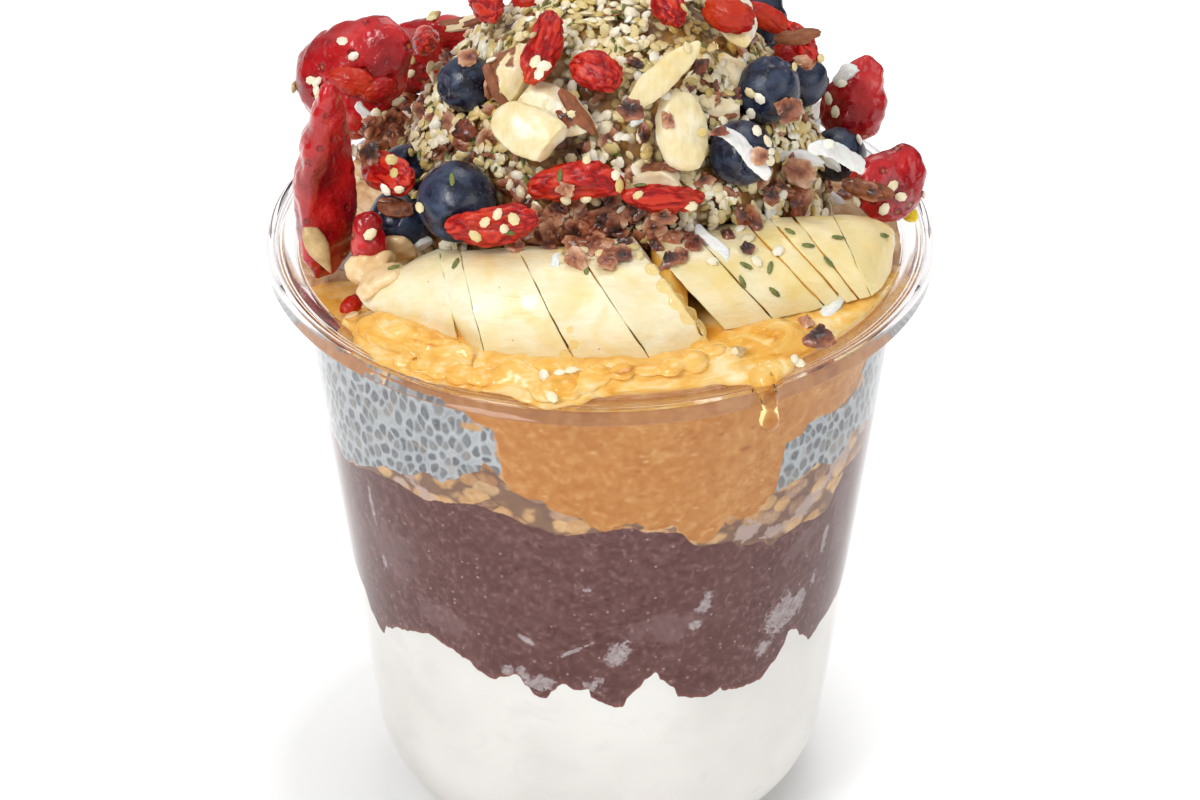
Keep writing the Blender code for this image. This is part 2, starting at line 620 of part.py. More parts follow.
def toppings():
    made = []
    for number, (diameter, place) in enumerate(BLUEBERRIES):
        bm = blueberry_mesh(diameter * MM)
        made.append(put(bm, f"blueberry_{number + 1:02d}", "blueberry", place))
    for number, (length, width, depth, place) in enumerate(STRAWBERRIES):
        bm = strawberry_mesh(length * MM, width * MM, depth * MM)
        made.append(put(bm, f"strawberry_{number + 1:02d}", "strawberry", place))
    for number, (length, width, depth, place) in enumerate(GOJI_BERRIES):
        bm = goji_mesh(length * MM, width * MM, depth * MM, number)
        made.append(put(bm, f"goji_berry_{number + 1:02d}", "goji", place))
    for number, (length, width, depth, start, end, place) in enumerate(NUTS):
        bm = nut_mesh(length * MM, width * MM, depth * MM, start, end)
        made.append(put(bm, f"almond_piece_{number + 1:02d}", "nut", place))
    for number, (length, width, depth, curl, twist, place) in enumerate(COCONUT):
        bm = strip_mesh(length * MM, width * MM, depth * MM, curl, twist)
        made.append(put(bm, f"coconut_strip_{number + 1:02d}", "coconut", place))
    return made


def heap_core():
    """The mound without its large toppings: a lumpy half dome that stands in the filling's top."""
    rng = random.Random(HEAP_SEED)
    loops = []
    foot = TUB_HEIGHT - 8 * MM
    for climb, lumps in HEAP_RINGS:
        ring = []
        for i in range(HEAP_COLUMNS):
            degrees = 360 * i / HEAP_COLUMNS
            turn, rise = math.radians(degrees), math.radians(max(climb, 4))
            ball = Vector((math.sin(turn) * math.cos(rise), -math.cos(turn) * math.cos(rise), math.sin(rise)))
            inside = CORE_DEPTH - rng.uniform(-lumps, lumps) * MM
            point = MOUND_CENTRE + Vector(a * (b - inside) for a, b in zip(ball, MOUND_HALF))
            if climb < 0:
                point.z = foot
            ring.append(point)
        loops.append(ring)
    top = MOUND_CENTRE + Vector((0, 0, MOUND_HALF.z - CORE_DEPTH))
    bm = skin(loops, (MOUND_CENTRE.x, MOUND_CENTRE.y, foot), top)
    return object_from(bm, "topping_heap", "seeds")


def swollen_hull(pieces, by):
    """A helper object round some pieces: their convex hull, grown outwards on every side."""
    bm = bmesh.new()
    for piece in pieces:
        for vert in piece.data.vertices:
            bm.verts.new(piece.matrix_world @ vert.co)
    hull = bmesh.ops.convex_hull(bm, input=bm.verts)
    inner = {v for v in hull["geom_interior"] + hull["geom_unused"] if isinstance(v, bmesh.types.BMVert)}
    bmesh.ops.delete(bm, geom=list(inner), context="VERTS")
    bmesh.ops.recalc_face_normals(bm, faces=bm.faces)
    bm.normal_update()
    moves = [(v, v.co + v.normal * by * v.calc_shell_factor()) for v in bm.verts]
    for vert, co in moves:
        vert.co = co
    return object_from(bm, "cutter", "seeds")


def keep_largest_body(piece):
    """Drops the bits that a cut has left loose and fills pockets that a join has shut in."""
    bm = bmesh.new()
    bm.from_mesh(piece.data)
    left = set(bm.verts)
    bodies = []
    while left:
        grown, edge = set(), [left.pop()]
        while edge:
            vert = edge.pop()
            grown.add(vert)
            for other in (e.other_vert(vert) for e in vert.link_edges):
                if other in left:
                    left.discard(other)
                    edge.append(other)
        bodies.append(grown)
    bodies.sort(key=len)
    for crumbs in bodies[:-1]:
        bmesh.ops.delete(bm, geom=list(crumbs), context="VERTS")
    bm.to_mesh(piece.data)
    bm.free()


def crumb_mesh(length, width, depth, rough, rng):
    """A hemp heart or, with rough set, a broken cacao nib: a small rounded lump along X."""
    loops = []
    for x, size in CRUMB_SECTIONS:
        ring = []
        for i in range(CRUMB_COLUMNS):
            turn = math.tau * (i + 0.3 * (x > 0)) / CRUMB_COLUMNS
            grown = size * (1 + rng.uniform(-rough, rough))
            ring.append(Vector((length / 2 * (x + rng.uniform(-rough, rough) * 0.4),
                                width / 2 * grown * math.cos(turn), depth / 2 * grown * math.sin(turn))))
        loops.append(ring)
    return skin(loops, (-length / 2, 0, 0), (length / 2, 0, 0))


def topping_heap(above, below):
    """The core cut clear of every piece that it touches, with its hemp hearts and cacao nibs joined on."""
    core = heap_core()
    room = layer(lambda a, share: TUB_HEIGHT - 20 * MM, lifted(filling, SPLIT))
    apply_boolean(core, object_from(room, "space", "seeds"), "DIFFERENCE")
    groups = [[piece] for piece in above] + [below[:3], below[3:5], below[5:8], below[8:]]
    for group in groups:
        apply_boolean(core, swollen_hull(group, SPLIT), "DIFFERENCE", "MANIFOLD")
    keep_largest_body(core)
    core_tree = BVHTree.FromPolygons([v.co for v in core.data.vertices],
                                     [p.vertices[:] for p in core.data.polygons])
    near = []
    for piece in above + below:
        points = [piece.matrix_world @ v.co for v in piece.data.vertices]
        near.append(BVHTree.FromPolygons(points, [p.vertices[:] for p in piece.data.polygons]))
    rng = random.Random(CRUMB_SEED)
    crumbs = bpy.data.collections.new("crumbs")
    for i in range(CRUMB_TRIES):
        # Even steps over the half dome: each turns on by the golden angle and climbs by equal heights
        degrees = i * GOLDEN_ANGLE
        climb = math.degrees(math.asin(0.05 + 0.93 * (i + 0.5) / CRUMB_TRIES))
        outer = seat(degrees, climb, CRUMB_START)
        inward = -outer.to_3x3().col[2]
        hit = core_tree.ray_cast(outer.translation, inward)[0]
        if hit is None or (hit - outer.translation).length > CRUMB_DEEPEST:
            continue
        nib = rng.random() > 0.35 + 0.5 * climb / 90
        length, width, depth = (rng.uniform(*limits) for limits in (NIB_SIZE if nib else HEMP_SIZE))
        lift = depth * 0.18 * MM
        centre = hit - inward * lift
        reach = 0.5 * math.hypot(length, width) * (1.12 if nib else 0.95) * MM + SPLIT
        if any(tree.find_nearest(centre, reach)[0] for tree in near):
            continue
        rough = NIB_ROUGH if nib else HEMP_ROUGH
        bm = crumb_mesh(length * MM, width * MM, depth * MM, rough, rng)
        place = seat(degrees, climb, 0, rng.uniform(0, 360), rng.uniform(-14, 14), rng.uniform(-14, 14))
        place.translation = centre
        bm.transform(place)
        crumb = object_from(bm, "crumb", "seeds")
        bpy.context.scene.collection.objects.unlink(crumb)
        crumbs.objects.link(crumb)
    bpy.context.scene.collection.children.link(crumbs)
    apply_boolean(core, crumbs, "UNION", "MANIFOLD")
    bpy.data.collections.remove(crumbs)
    keep_largest_body(core)
    return core


def main():
    for old in list(bpy.data.objects):
        bpy.data.objects.remove(old)
    tub()
    yogurt()
    acai = layer(lifted(yogurt_top, SPLIT), acai_top)
    object_from(acai, "acai", "acai")
    granola = layer(lifted(acai_top, SPLIT), granola_top)
    object_from(granola, "granola", "granola")
    butter_and_chia()
    slices = banana_slices()
    large = toppings()
    bpy.context.view_layer.update()
    topping_heap(large, slices)


main()
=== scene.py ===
import math
import random

import bmesh
import bpy
from mathutils import Euler, Matrix, Vector, noise
from mathutils.bvhtree import BVHTree


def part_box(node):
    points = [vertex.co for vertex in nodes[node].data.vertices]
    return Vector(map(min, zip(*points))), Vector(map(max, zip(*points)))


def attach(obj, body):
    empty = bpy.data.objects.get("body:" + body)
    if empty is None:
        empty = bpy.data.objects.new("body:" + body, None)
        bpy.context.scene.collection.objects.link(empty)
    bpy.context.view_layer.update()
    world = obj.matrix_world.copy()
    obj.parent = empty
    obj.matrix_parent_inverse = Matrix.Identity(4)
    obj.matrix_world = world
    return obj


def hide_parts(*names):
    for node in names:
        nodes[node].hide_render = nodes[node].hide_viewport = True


# Layered acai bowl in a clear plastic tub: the looks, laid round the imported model.
# +Z is up and -Y is the front. Lengths are in metres, and mm turns millimetres into them.
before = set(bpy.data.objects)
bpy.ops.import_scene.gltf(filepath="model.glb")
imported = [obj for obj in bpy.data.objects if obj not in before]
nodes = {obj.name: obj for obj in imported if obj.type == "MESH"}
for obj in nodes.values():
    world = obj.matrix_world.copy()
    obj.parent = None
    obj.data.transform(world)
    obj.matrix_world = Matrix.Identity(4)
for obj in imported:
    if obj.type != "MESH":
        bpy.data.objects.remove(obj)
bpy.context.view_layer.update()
mm = 0.001
print("frame loaded with", len(nodes), "nodes")

tub = {
    "height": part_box("tub")[1].z,
    "rimRadius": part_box("tub")[1].x,
    "mouthRadius": 53.4 * mm,   # outside of the wall, carried up to the rim's height
    "slope": 0.13,              # radius lost for each metre down
    "wall": 0.6 * mm,
    "corner": 17 * mm,          # radius of the rounded base corner
    "footInner": 20.5 * mm,
    "footRise": 1.2 * mm,
    "rimSection": (             # mm in from the rim's edge and below its top, from under the flange
        (1.2, 1.1), (0.95, 1.4), (0.8, 3.2), (0.55, 3.4), (0.15, 3.25), (0, 2.8), (0.12, 1.9),
        (0.05, 1.1), (0.2, 0.45), (0.6, 0.1), (1.0, 0), (1.5, 0.15), (1.75, 0.38), (2.05, 0.22),
        (2.35, 0.38), (2.65, 0.20), (2.95, 0.34), (3.25, 0.14), (3.5, 0.05)),
    "mouthSection": ((1.0, 0), (0.5, 0.05), (0.1, 0.3)),    # mm out from the mouth and below the top
    "columns": 180,
    "tint": (0.985, 0.985, 0.985, 1),
    "rimTint": (0.84, 0.805, 0.80, 1),
}
bite = 0.45 * mm                # how far the food reaches into the wall


# Hand tools

def deselectAll():
    if bpy.context.object and bpy.context.object.mode != "OBJECT":
        bpy.ops.object.mode_set(mode="OBJECT")
    bpy.ops.object.select_all(action="DESELECT")


def pick(piece):
    deselectAll()
    piece.select_set(True)
    bpy.context.view_layer.objects.active = piece


def startEdit(piece, mode="VERT"):
    pick(piece)
    bpy.ops.object.mode_set(mode="EDIT")
    bpy.ops.mesh.select_mode(type=mode)


def endEdit():
    bpy.ops.object.mode_set(mode="OBJECT")


def useModifier(piece, kind, **values):
    pick(piece)
    modifier = piece.modifiers.new(kind.lower(), kind)
    for key, value in values.items():
        setattr(modifier, key, value)
    bpy.ops.object.modifier_apply(modifier=modifier.name)


def setPlace(piece):
    # the piece's place goes into its mesh
    pick(piece)
    bpy.ops.object.transform_apply(location=True, rotation=True, scale=True)


def smoothShade(piece, degrees=None):
    pick(piece)
    if degrees is None:
        bpy.ops.object.shade_smooth()
    else:
        bpy.ops.object.shade_smooth_by_angle(angle=math.radians(degrees))


def hand(piece, name, material, slot, *replaced):
    # names a finished piece, gives it its finish and hangs it on the frame
    piece.name = name
    piece.data.name = name
    piece.data.materials.clear()
    piece.data.materials.append(material)
    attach(piece, "root")
    if replaced:
        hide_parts(*replaced)
    return piece


def smoothStep(low, high, value):
    share = min(1.0, max(0.0, (value - low) / (high - low)))
    return share * share * (3 - 2 * share)


def readCurve(curve, degrees):
    # a closed row of (degrees, value) points, read with eased steps between them
    start = curve[0][0]
    angle = (degrees - start) % 360 + start
    for (a, low), (b, high) in zip(curve, curve[1:] + ((start + 360, curve[0][1]),)):
        if angle <= b:
            return low + (high - low) * smoothStep(a, b, angle)
    return curve[0][1]


def polar(degrees, radius, height):
    turn = math.radians(degrees)
    return Vector((radius * math.sin(turn), -radius * math.cos(turn), height))


def ripple(x, y, z=0.0, size=1.0, octaves=2):
    # even noise from -1 to 1 with lumps of about the given size
    return noise.fractal(Vector((x, y, z)) / size, 0.9, 2.1, octaves)


# Camera, floor and light

view = {
    "target": Vector((0, 0, tub["height"])),
    "elevation": 30.3,
    "distance": 0.950,
    "focalPixels": 5434.0,    # focal length in pixels of the 1200 wide photo
    "rimDrop": 168.0,         # the rim's centre lies so many pixels above the middle
    "width": 1200.0,
    "depth": 800.0,
    "sensor": 36,
}


def makeCamera():
    deselectAll()
    rise = math.radians(view["elevation"])
    back = Vector((0, -math.cos(rise), math.sin(rise)))
    tilt = math.atan(view["rimDrop"] / view["focalPixels"])
    bpy.ops.object.camera_add(location=view["target"] + back * view["distance"],
                              rotation=(math.pi / 2 - rise - tilt, 0, 0))
    camera = bpy.context.object
    camera.name = "photoCamera"
    camera.data.sensor_width = view["sensor"]
    camera.data.lens = view["sensor"] * view["focalPixels"] / view["width"]
    camera.data.clip_start = 0.01
    bpy.context.scene.camera = camera
    bpy.context.view_layer.update()
    return camera


def pixelRay(u, v):
    # from the camera through a pixel of the 1200 x 800 photo
    matrix = camera.matrix_world
    across = (u - view["width"] / 2) / view["focalPixels"]
    up = (view["depth"] / 2 - v) / view["focalPixels"]
    return matrix.translation.copy(), (matrix.to_3x3() @ Vector((across, up, -1))).normalized()


studio = {
    "floor": 6,               # metres across
    # strength of the painted glow of the floor
    "paintedFloorGlow": 0.50,
    "roomLight": 0.54,
    "aim": Vector((0, 0, 0.09)),
    "lamps": (                # name, place, size, watts
        ("keySoftbox", (-0.55, -0.62, 0.95), 0.50, 6.8),
        ("fillSoftbox", (0.70, -0.50, 0.55), 0.55, 1.2),
        ("topSoftbox", (0.10, 0.45, 1.05), 0.55, 2.2)),
}


def makeStudio():
    deselectAll()
    bpy.ops.mesh.primitive_grid_add(x_subdivisions=8, y_subdivisions=8, size=studio["floor"])
    floor = bpy.context.object
    floor.name = "studioFloor"
    material = newMaterial("paleFloor", 0.6, Emission_Color=(1, 1, 1, 1))
    coords = objectCoords(material)
    # painted light: the floor glows like a light table, more to the right, where it fills the key lamp's cast
    # shadow, and less close to the tub, a painted contact shadow
    far = sums("LENGTH", mapped(coords, place=(0.011, 0.004, 0)), kind="VectorMath")
    paintedGlow = ramp(sums("MULTIPLY", far, 10), ((0.45, 0.0), (0.62, 0.55), (0.84, 1.0)))
    shade = noisy(coords, 60, ((0.3, (248, 248, 248)), (0.7, (252, 252, 252))))
    floor.data.materials.append(finished(material, shade, paintedGlow=sums("MULTIPLY", paintedGlow, studio["paintedFloorGlow"])))
    world = bpy.context.scene.world or bpy.data.worlds.new("studio")
    bpy.context.scene.world = world
    world.use_nodes = True
    backdrop = world.node_tree.nodes["Background"]
    backdrop.inputs["Strength"].default_value = studio["roomLight"]
    # the room is white, with darker walls low at both sides that draw the clear rim's edges
    across, _, up = partsOf(newNode(world.node_tree, "TexCoord").outputs["Generated"])
    low = sums("SUBTRACT", sums("ABSOLUTE", across), sums("ABSOLUTE", up))
    feed(ramp(low, ((0.25, 1.0), (0.62, 0.18))), backdrop.inputs["Color"])
    for name, place, size, watts in studio["lamps"]:
        bpy.ops.object.light_add(type="AREA", location=place)
        lamp = bpy.context.object
        lamp.name = name
        lamp.data.shape = "DISK"
        lamp.data.size = size
        lamp.data.energy = watts
        aim = studio["aim"] - Vector(place)
        lamp.rotation_euler = aim.to_track_quat("-Z", "Y").to_euler()
    bpy.context.scene.view_settings.view_transform = "Standard"


# Finishes, all from shader nodes. A socket knows its node tree, so that need not be passed on

def paint(red, green, blue):
    # a colour as seen on screen, 0 to 255, as the shader's own linear value
    def straighten(value):
        value /= 255
        return value / 12.92 if value <= 0.04045 else ((value + 0.055) / 1.055) ** 2.4
    return (straighten(red), straighten(green), straighten(blue), 1.0)


def newMaterial(name, roughness=0.5, **sockets):
    material = bpy.data.materials.new(name)
    material.use_nodes = True
    shader = material.node_tree.nodes["Principled BSDF"]
    shader.inputs["Roughness"].default_value = roughness
    for key, value in sockets.items():
        shader.inputs[key.replace("_", " ")].default_value = value
    return material


def finished(material, colour, relief=None, roughness=None, paintedGlow=None):
    # links what a finish has worked out to its shader
    tree = material.node_tree
    links = {"Base Color": colour, "Normal": relief, "Roughness": roughness, "Emission Strength": paintedGlow}
    for key, value in links.items():
        if value:
            tree.links.new(value, tree.nodes["Principled BSDF"].inputs[key])
    return material


def feed(value, socket):
    # a socket is linked, a colour is painted and a number is set
    if isinstance(value, bpy.types.NodeSocket):
        socket.id_data.links.new(value, socket)
    else:
        socket.default_value = paint(*value) if socket.type == "RGBA" else value


def newNode(tree, kind, **inputs):
    node = tree.nodes.new("ShaderNode" + kind)
    for key, value in inputs.items():
        feed(value, node.inputs[key])
    return node


def sums(operation, *values, clamp=False, kind="Math"):
    tree = next(v.id_data for v in values if isinstance(v, bpy.types.NodeSocket))
    node = newNode(tree, kind)
    node.operation = operation
    if clamp:
        node.use_clamp = True
    for value, socket in zip(values, node.inputs):
        feed(value, socket)
    return node.outputs["Value" if kind == "Math" or operation in ("LENGTH", "DOT_PRODUCT") else "Vector"]


def mapped(vector, scale=(1, 1, 1), turn=(0, 0, 0), place=(0, 0, 0), kind="POINT"):
    node = newNode(vector.id_data, "Mapping", Vector=vector, Scale=scale, Location=place)
    node.vector_type = kind
    node.inputs["Rotation"].default_value = [math.radians(t) for t in turn]
    return node.outputs["Vector"]


def objectCoords(material, scale=(1, 1, 1), turn=(0, 0, 0), place=(0, 0, 0)):
    return mapped(newNode(material.node_tree, "TexCoord").outputs["Object"], scale, turn, place)


def wallCoords(material):
    # metres round the wall from the front, and metres up
    node = newNode(material.node_tree, "UVMap")
    node.uv_map = "wall"
    return node.outputs["UV"]


def valueOf(material, name):
    node = newNode(material.node_tree, "Attribute")
    node.attribute_name = name
    return node.outputs["Fac"]


def partsOf(socket):
    # the three parts of a colour or a vector
    node = newNode(socket.id_data, "SeparateColor" if socket.type == "RGBA" else "SeparateXYZ")
    feed(socket, node.inputs[0])
    return node.outputs


def noiseAt(coords, size, detail=3.0, rough=0.55, warp=0.0):
    # size is the lumps' own, in millimetres
    return newNode(coords.id_data, "TexNoise", Vector=coords, Scale=1000 / size, Detail=detail,
                   Roughness=rough, Distortion=warp).outputs[0]


def cellsAt(coords, size, feature="F1", even=1.0, flat=False):
    node = newNode(coords.id_data, "TexVoronoi", Vector=coords, Scale=1000 / size, Randomness=even)
    node.feature = feature
    if flat:
        node.voronoi_dimensions = "2D"
    return node.outputs


def pushed(coords, scale, reach, by=None):
    # coordinates pushed about by noise, so that patterns laid on them lose their evenness
    wobble = newNode(coords.id_data, "TexNoise", Vector=by or coords, Scale=scale)
    return sums("MULTIPLY_ADD", wobble.outputs["Color"], (reach, reach, reach), coords, kind="VectorMath")


def ramp(factor, stops, kind="LINEAR"):
    # each stop is a place and a colour or a share
    node = newNode(factor.id_data, "ValToRGB", Fac=factor)
    node.color_ramp.interpolation = kind
    elements = node.color_ramp.elements
    while len(elements) < len(stops):
        elements.new(0.5)
    for element, (place, value) in zip(elements, stops):
        element.position = place
        element.color = paint(*value) if isinstance(value, tuple) else (value, value, value, 1)
    return node.outputs["Color"]


def noisy(coords, size, stops, detail=3.0, rough=0.55, warp=0.0):
    return ramp(noiseAt(coords, size, detail, rough, warp), stops)


def mixed(factor, first, second):
    node = newNode(first.id_data, "Mix")
    node.data_type = "RGBA"
    for value, socket in ((factor, 0), (first, 6), (second, 7)):
        feed(value, node.inputs[socket])
    return node.outputs[2]


def laid(colour, mask, share, tint):
    # tint laid over colour by a mask, as strongly as share says
    return mixed(sums("MULTIPLY", mask, share), colour, tint)


def wavering(coords, size, reach, detail=3.0, rough=0.55):
    # noise about nought
    return sums("MULTIPLY", sums("SUBTRACT", noiseAt(coords, size, detail, rough), 0.5), reach)


def bumpFrom(height, depth, under=None):
    # depth is the relief's own, in millimetres
    node = newNode(height.id_data, "Bump", Height=height, Distance=depth * mm)
    if under:
        feed(under, node.inputs["Normal"])
    return node.outputs["Normal"]


def grained(coords, size, depth, detail=3.0, under=None):
    return bumpFrom(noiseAt(coords, size, detail), depth, under)


def speckles(coords, size, reach, share):
    # a mask of small spots: reach is their radius in cells, share the part of the cells that have one
    cells = cellsAt(coords, size)
    near = ramp(cells["Distance"], ((reach * 0.6, 1.0), (reach, 0.0)))
    chosen = ramp(partsOf(cells["Color"])[0], ((1 - share - 0.01, 0.0), (1 - share, 1.0)))
    return sums("MULTIPLY", near, chosen)


def smears(material, places, ragged=0.55, grain=1.6):
    # a mask of torn blotches on the wall, each (degrees, mm below the rim, width, height, turn) in mm
    chart = wallCoords(material)
    torn = sums("ADD", sums("MULTIPLY", noiseAt(chart, grain * 2.4, 5, 0.75, 0.6), 0.7),
                sums("MULTIPLY", noiseAt(chart, grain * 0.5, 4, 0.7), 0.3))
    mask = None
    for degrees, below, width, tall, turn in places:
        height = tub["height"] - below * mm
        spot = mapped(chart, (width / 2 * mm, tall / 2 * mm, 1), (0, 0, turn),
                      (math.radians(degrees) * wallRadius(height, 0), height, 0), "TEXTURE")
        far = sums("LENGTH", spot, kind="VectorMath")
        edge = sums("ADD", far, sums("MULTIPLY", torn, ragged * 7))
        inside = ramp(sums("SUBTRACT", edge, ragged * 3.6), ((0.68, 1.0), (1.0, 0.0)))
        mask = sums("MAXIMUM", mask, inside) if mask else inside
    return mask


def glassFinish(name, colour, ior, roughness):
    # clear, and open to the light that falls on what lies behind it
    material = newMaterial(name, roughness, Transmission_Weight=1.0, IOR=ior, Base_Color=colour)
    tree = material.node_tree
    path = newNode(tree, "LightPath").outputs
    choose = newNode(tree, "MixShader")
    feed(sums("MAXIMUM", path["Is Shadow Ray"], path["Is Diffuse Ray"]), choose.inputs[0])
    feed(tree.nodes["Principled BSDF"].outputs[0], choose.inputs[1])
    feed(newNode(tree, "BsdfTransparent").outputs[0], choose.inputs[2])
    feed(choose.outputs[0], tree.nodes["Material Output"].inputs["Surface"])
    return material


def yogurtFinish():
    material = newMaterial("whiteYogurt", 0.46, Subsurface_Weight=0.12, Subsurface_Scale=0.004)
    coords = objectCoords(material)
    broad = noisy(coords, 26, ((0.35, (217, 214, 209)), (0.65, (231, 228, 223))), 2, 0.5)
    turned = objectCoords(material, (1, 1, 1.6), (20, 0, 30))
    smudge = noisy(turned, 9, ((0.55, 0.0), (0.75, 0.5)), 4, 0.6, 0.6)
    return finished(material, mixed(smudge, broad, (210, 207, 203)), grained(coords, 4, 0.12))


def acaiFinish():
    material = newMaterial("acaiBlend", 0.45, Specular_IOR_Level=0.25)
    coords = objectCoords(material)
    broad = noisy(coords, 24, ((0.30, (94, 54, 51)), (0.50, (110, 73, 70)), (0.72, (126, 92, 90))))
    swept = noisy(objectCoords(material, (1, 1, 1.7), (0, 24, 0)), 6,
                  ((0.34, (78, 42, 40)), (0.52, (106, 69, 66)), (0.68, (142, 108, 106))), 5, 0.68, 0.5)
    mottled = noisy(coords, 1.3, ((0.34, (62, 30, 28)), (0.52, (106, 68, 65)), (0.68, (172, 138, 132))),
                    5, 0.75)
    colour = mixed(0.5, mixed(0.5, broad, swept), mottled)
    colour = laid(colour, speckles(coords, 1.4, 0.20, 0.24), 0.8, (190, 164, 160))
    dark = speckles(objectCoords(material, place=(0.3, 0, 0)), 2.2, 0.18, 0.26)
    colour = laid(colour, dark, 0.65, (54, 24, 24))
    colour = laid(colour, smears(material, acai["veils"], 0.6, 3.0), 0.30, (152, 126, 126))
    milk = noisy(coords, 1.4, ((0.35, (156, 138, 138)), (0.65, (204, 196, 196))), 4, 0.7)
    colour = laid(colour, smears(material, acai["smears"], 0.8, 1.25), 0.85, milk)
    edge = ramp(valueOf(material, "aboveEdge"), ((0.0, 1.0), (0.9, 0.0)))
    colour = laid(colour, edge, 0.6, (158, 98, 84))
    return finished(material, mixed(0.25, colour, (60, 24, 22)), grained(coords, 1.6, 0.10, 4))


def chiaFinish():
    material = newMaterial("chiaPudding", 0.36, Specular_IOR_Level=0.3)
    coords = objectCoords(material)
    # the seeds lean away from the front on either side
    across, up, _ = partsOf(wallCoords(material))
    mirrored = newNode(material.node_tree, "CombineXYZ", X=sums("ABSOLUTE", across), Y=up)
    swayed = pushed(mirrored.outputs[0], 75, 0.0055, coords)
    leaning = mapped(pushed(swayed, 420, 0.0012, coords), (1.12, 0.76, 1.0), (0, 0, -32))
    cells = cellsAt(leaning, 2.35, "F1", 0.62, flat=True)
    tone = partsOf(cells["Color"])
    seed = ramp(tone[0], ((0.0, (84, 88, 95)), (0.6, (108, 112, 117)), (1.0, (138, 136, 134))))
    seed = mixed(noisy(coords, 0.6, ((0.38, 0.0), (0.72, 0.6)), 4), seed, (146, 144, 140))
    gel = noisy(coords, 3.5, ((0.3, (146, 150, 154)), (0.7, (174, 178, 180))), 4)
    halo = ramp(cells["Distance"], ((0.44, 0.0), (0.58, 0.4), (0.72, 0.0)), "EASE")
    gel = mixed(halo, gel, (184, 190, 194))
    reach = sums("ADD", cells["Distance"], sums("MULTIPLY", tone[1], 0.12))
    borders = cellsAt(leaning, 2.35, "DISTANCE_TO_EDGE", 0.62, flat=True)
    apart = ramp(borders["Distance"], ((0.02, 0.0), (0.22, 0.95)), "EASE")
    inSeed = sums("MULTIPLY", apart, ramp(reach, ((0.34, 1.0), (0.60, 0.0)), "EASE"))
    colour = mixed(inSeed, gel, seed)
    rusty = noisy(objectCoords(material, place=(0.2, 0, 0)), 4.5, ((0.56, 0.0), (0.70, 0.5)))
    colour = mixed(rusty, colour, (158, 144, 132))
    # peanut butter has run into it on either side of the front
    colour = laid(colour, smears(material, filling["runs"], 0.7, 1.8), 0.85, (198, 148, 90))
    # inside and near the rim it is smeared over with cream, peanut butter and berry juice
    cream = noisy(coords, 6, ((0.28, (168, 100, 66)), (0.42, (216, 170, 118)), (0.60, (236, 206, 166)),
                              (0.74, (214, 138, 124))), 4, 0.6, 0.6)
    level = sums("MULTIPLY", noiseAt(coords, 4, 4), 0.006)
    high = sums("GREATER_THAN", sums("ADD", up, level), tub["height"] - 1.2 * mm)
    relief = bumpFrom(ramp(reach, ((0.2, 1.0), (0.6, 0.0)), "EASE"), 0.2)
    return finished(material, mixed(high, colour, cream), relief)


def granolaFinish():
    # clusters of oats pressed to the wall, with milky smears between, and the gaps between the clusters
    # painted dark, a painted shade
    material = newMaterial("granolaBed", 0.5)
    coords = objectCoords(material)
    cells = cellsAt(mapped(pushed(coords, 260, 0.0022), (0.9, 0.9, 1.3)), 4.0)
    oats = ramp(partsOf(cells["Color"])[0],
                ((0.0, (150, 96, 58)), (0.3, (198, 150, 96)), (0.8, (216, 176, 120)), (0.9, (170, 136, 118)),
                 (1.0, (104, 62, 48))))
    flaky = noisy(coords, 1.3, ((0.32, (122, 76, 50)), (0.7, (222, 186, 140))), 4, 0.65)
    # painted shade: the gaps between the clusters are darkened
    paintedGapShade = ramp(cells["Distance"], ((0.44, 0.0), (0.64, 0.85)), "EASE")
    colour = mixed(paintedGapShade, mixed(0.34, oats, flaky), (104, 72, 60))
    colour = laid(colour, smears(material, granola["smears"], 0.7, 2.4), 0.75, (184, 162, 154))
    lumps = bumpFrom(ramp(cells["Distance"], ((0.1, 1.0), (0.7, 0.0)), "EASE"), 0.5)
    return finished(material, colour, grained(coords, 1.2, 0.2, 4, lumps))


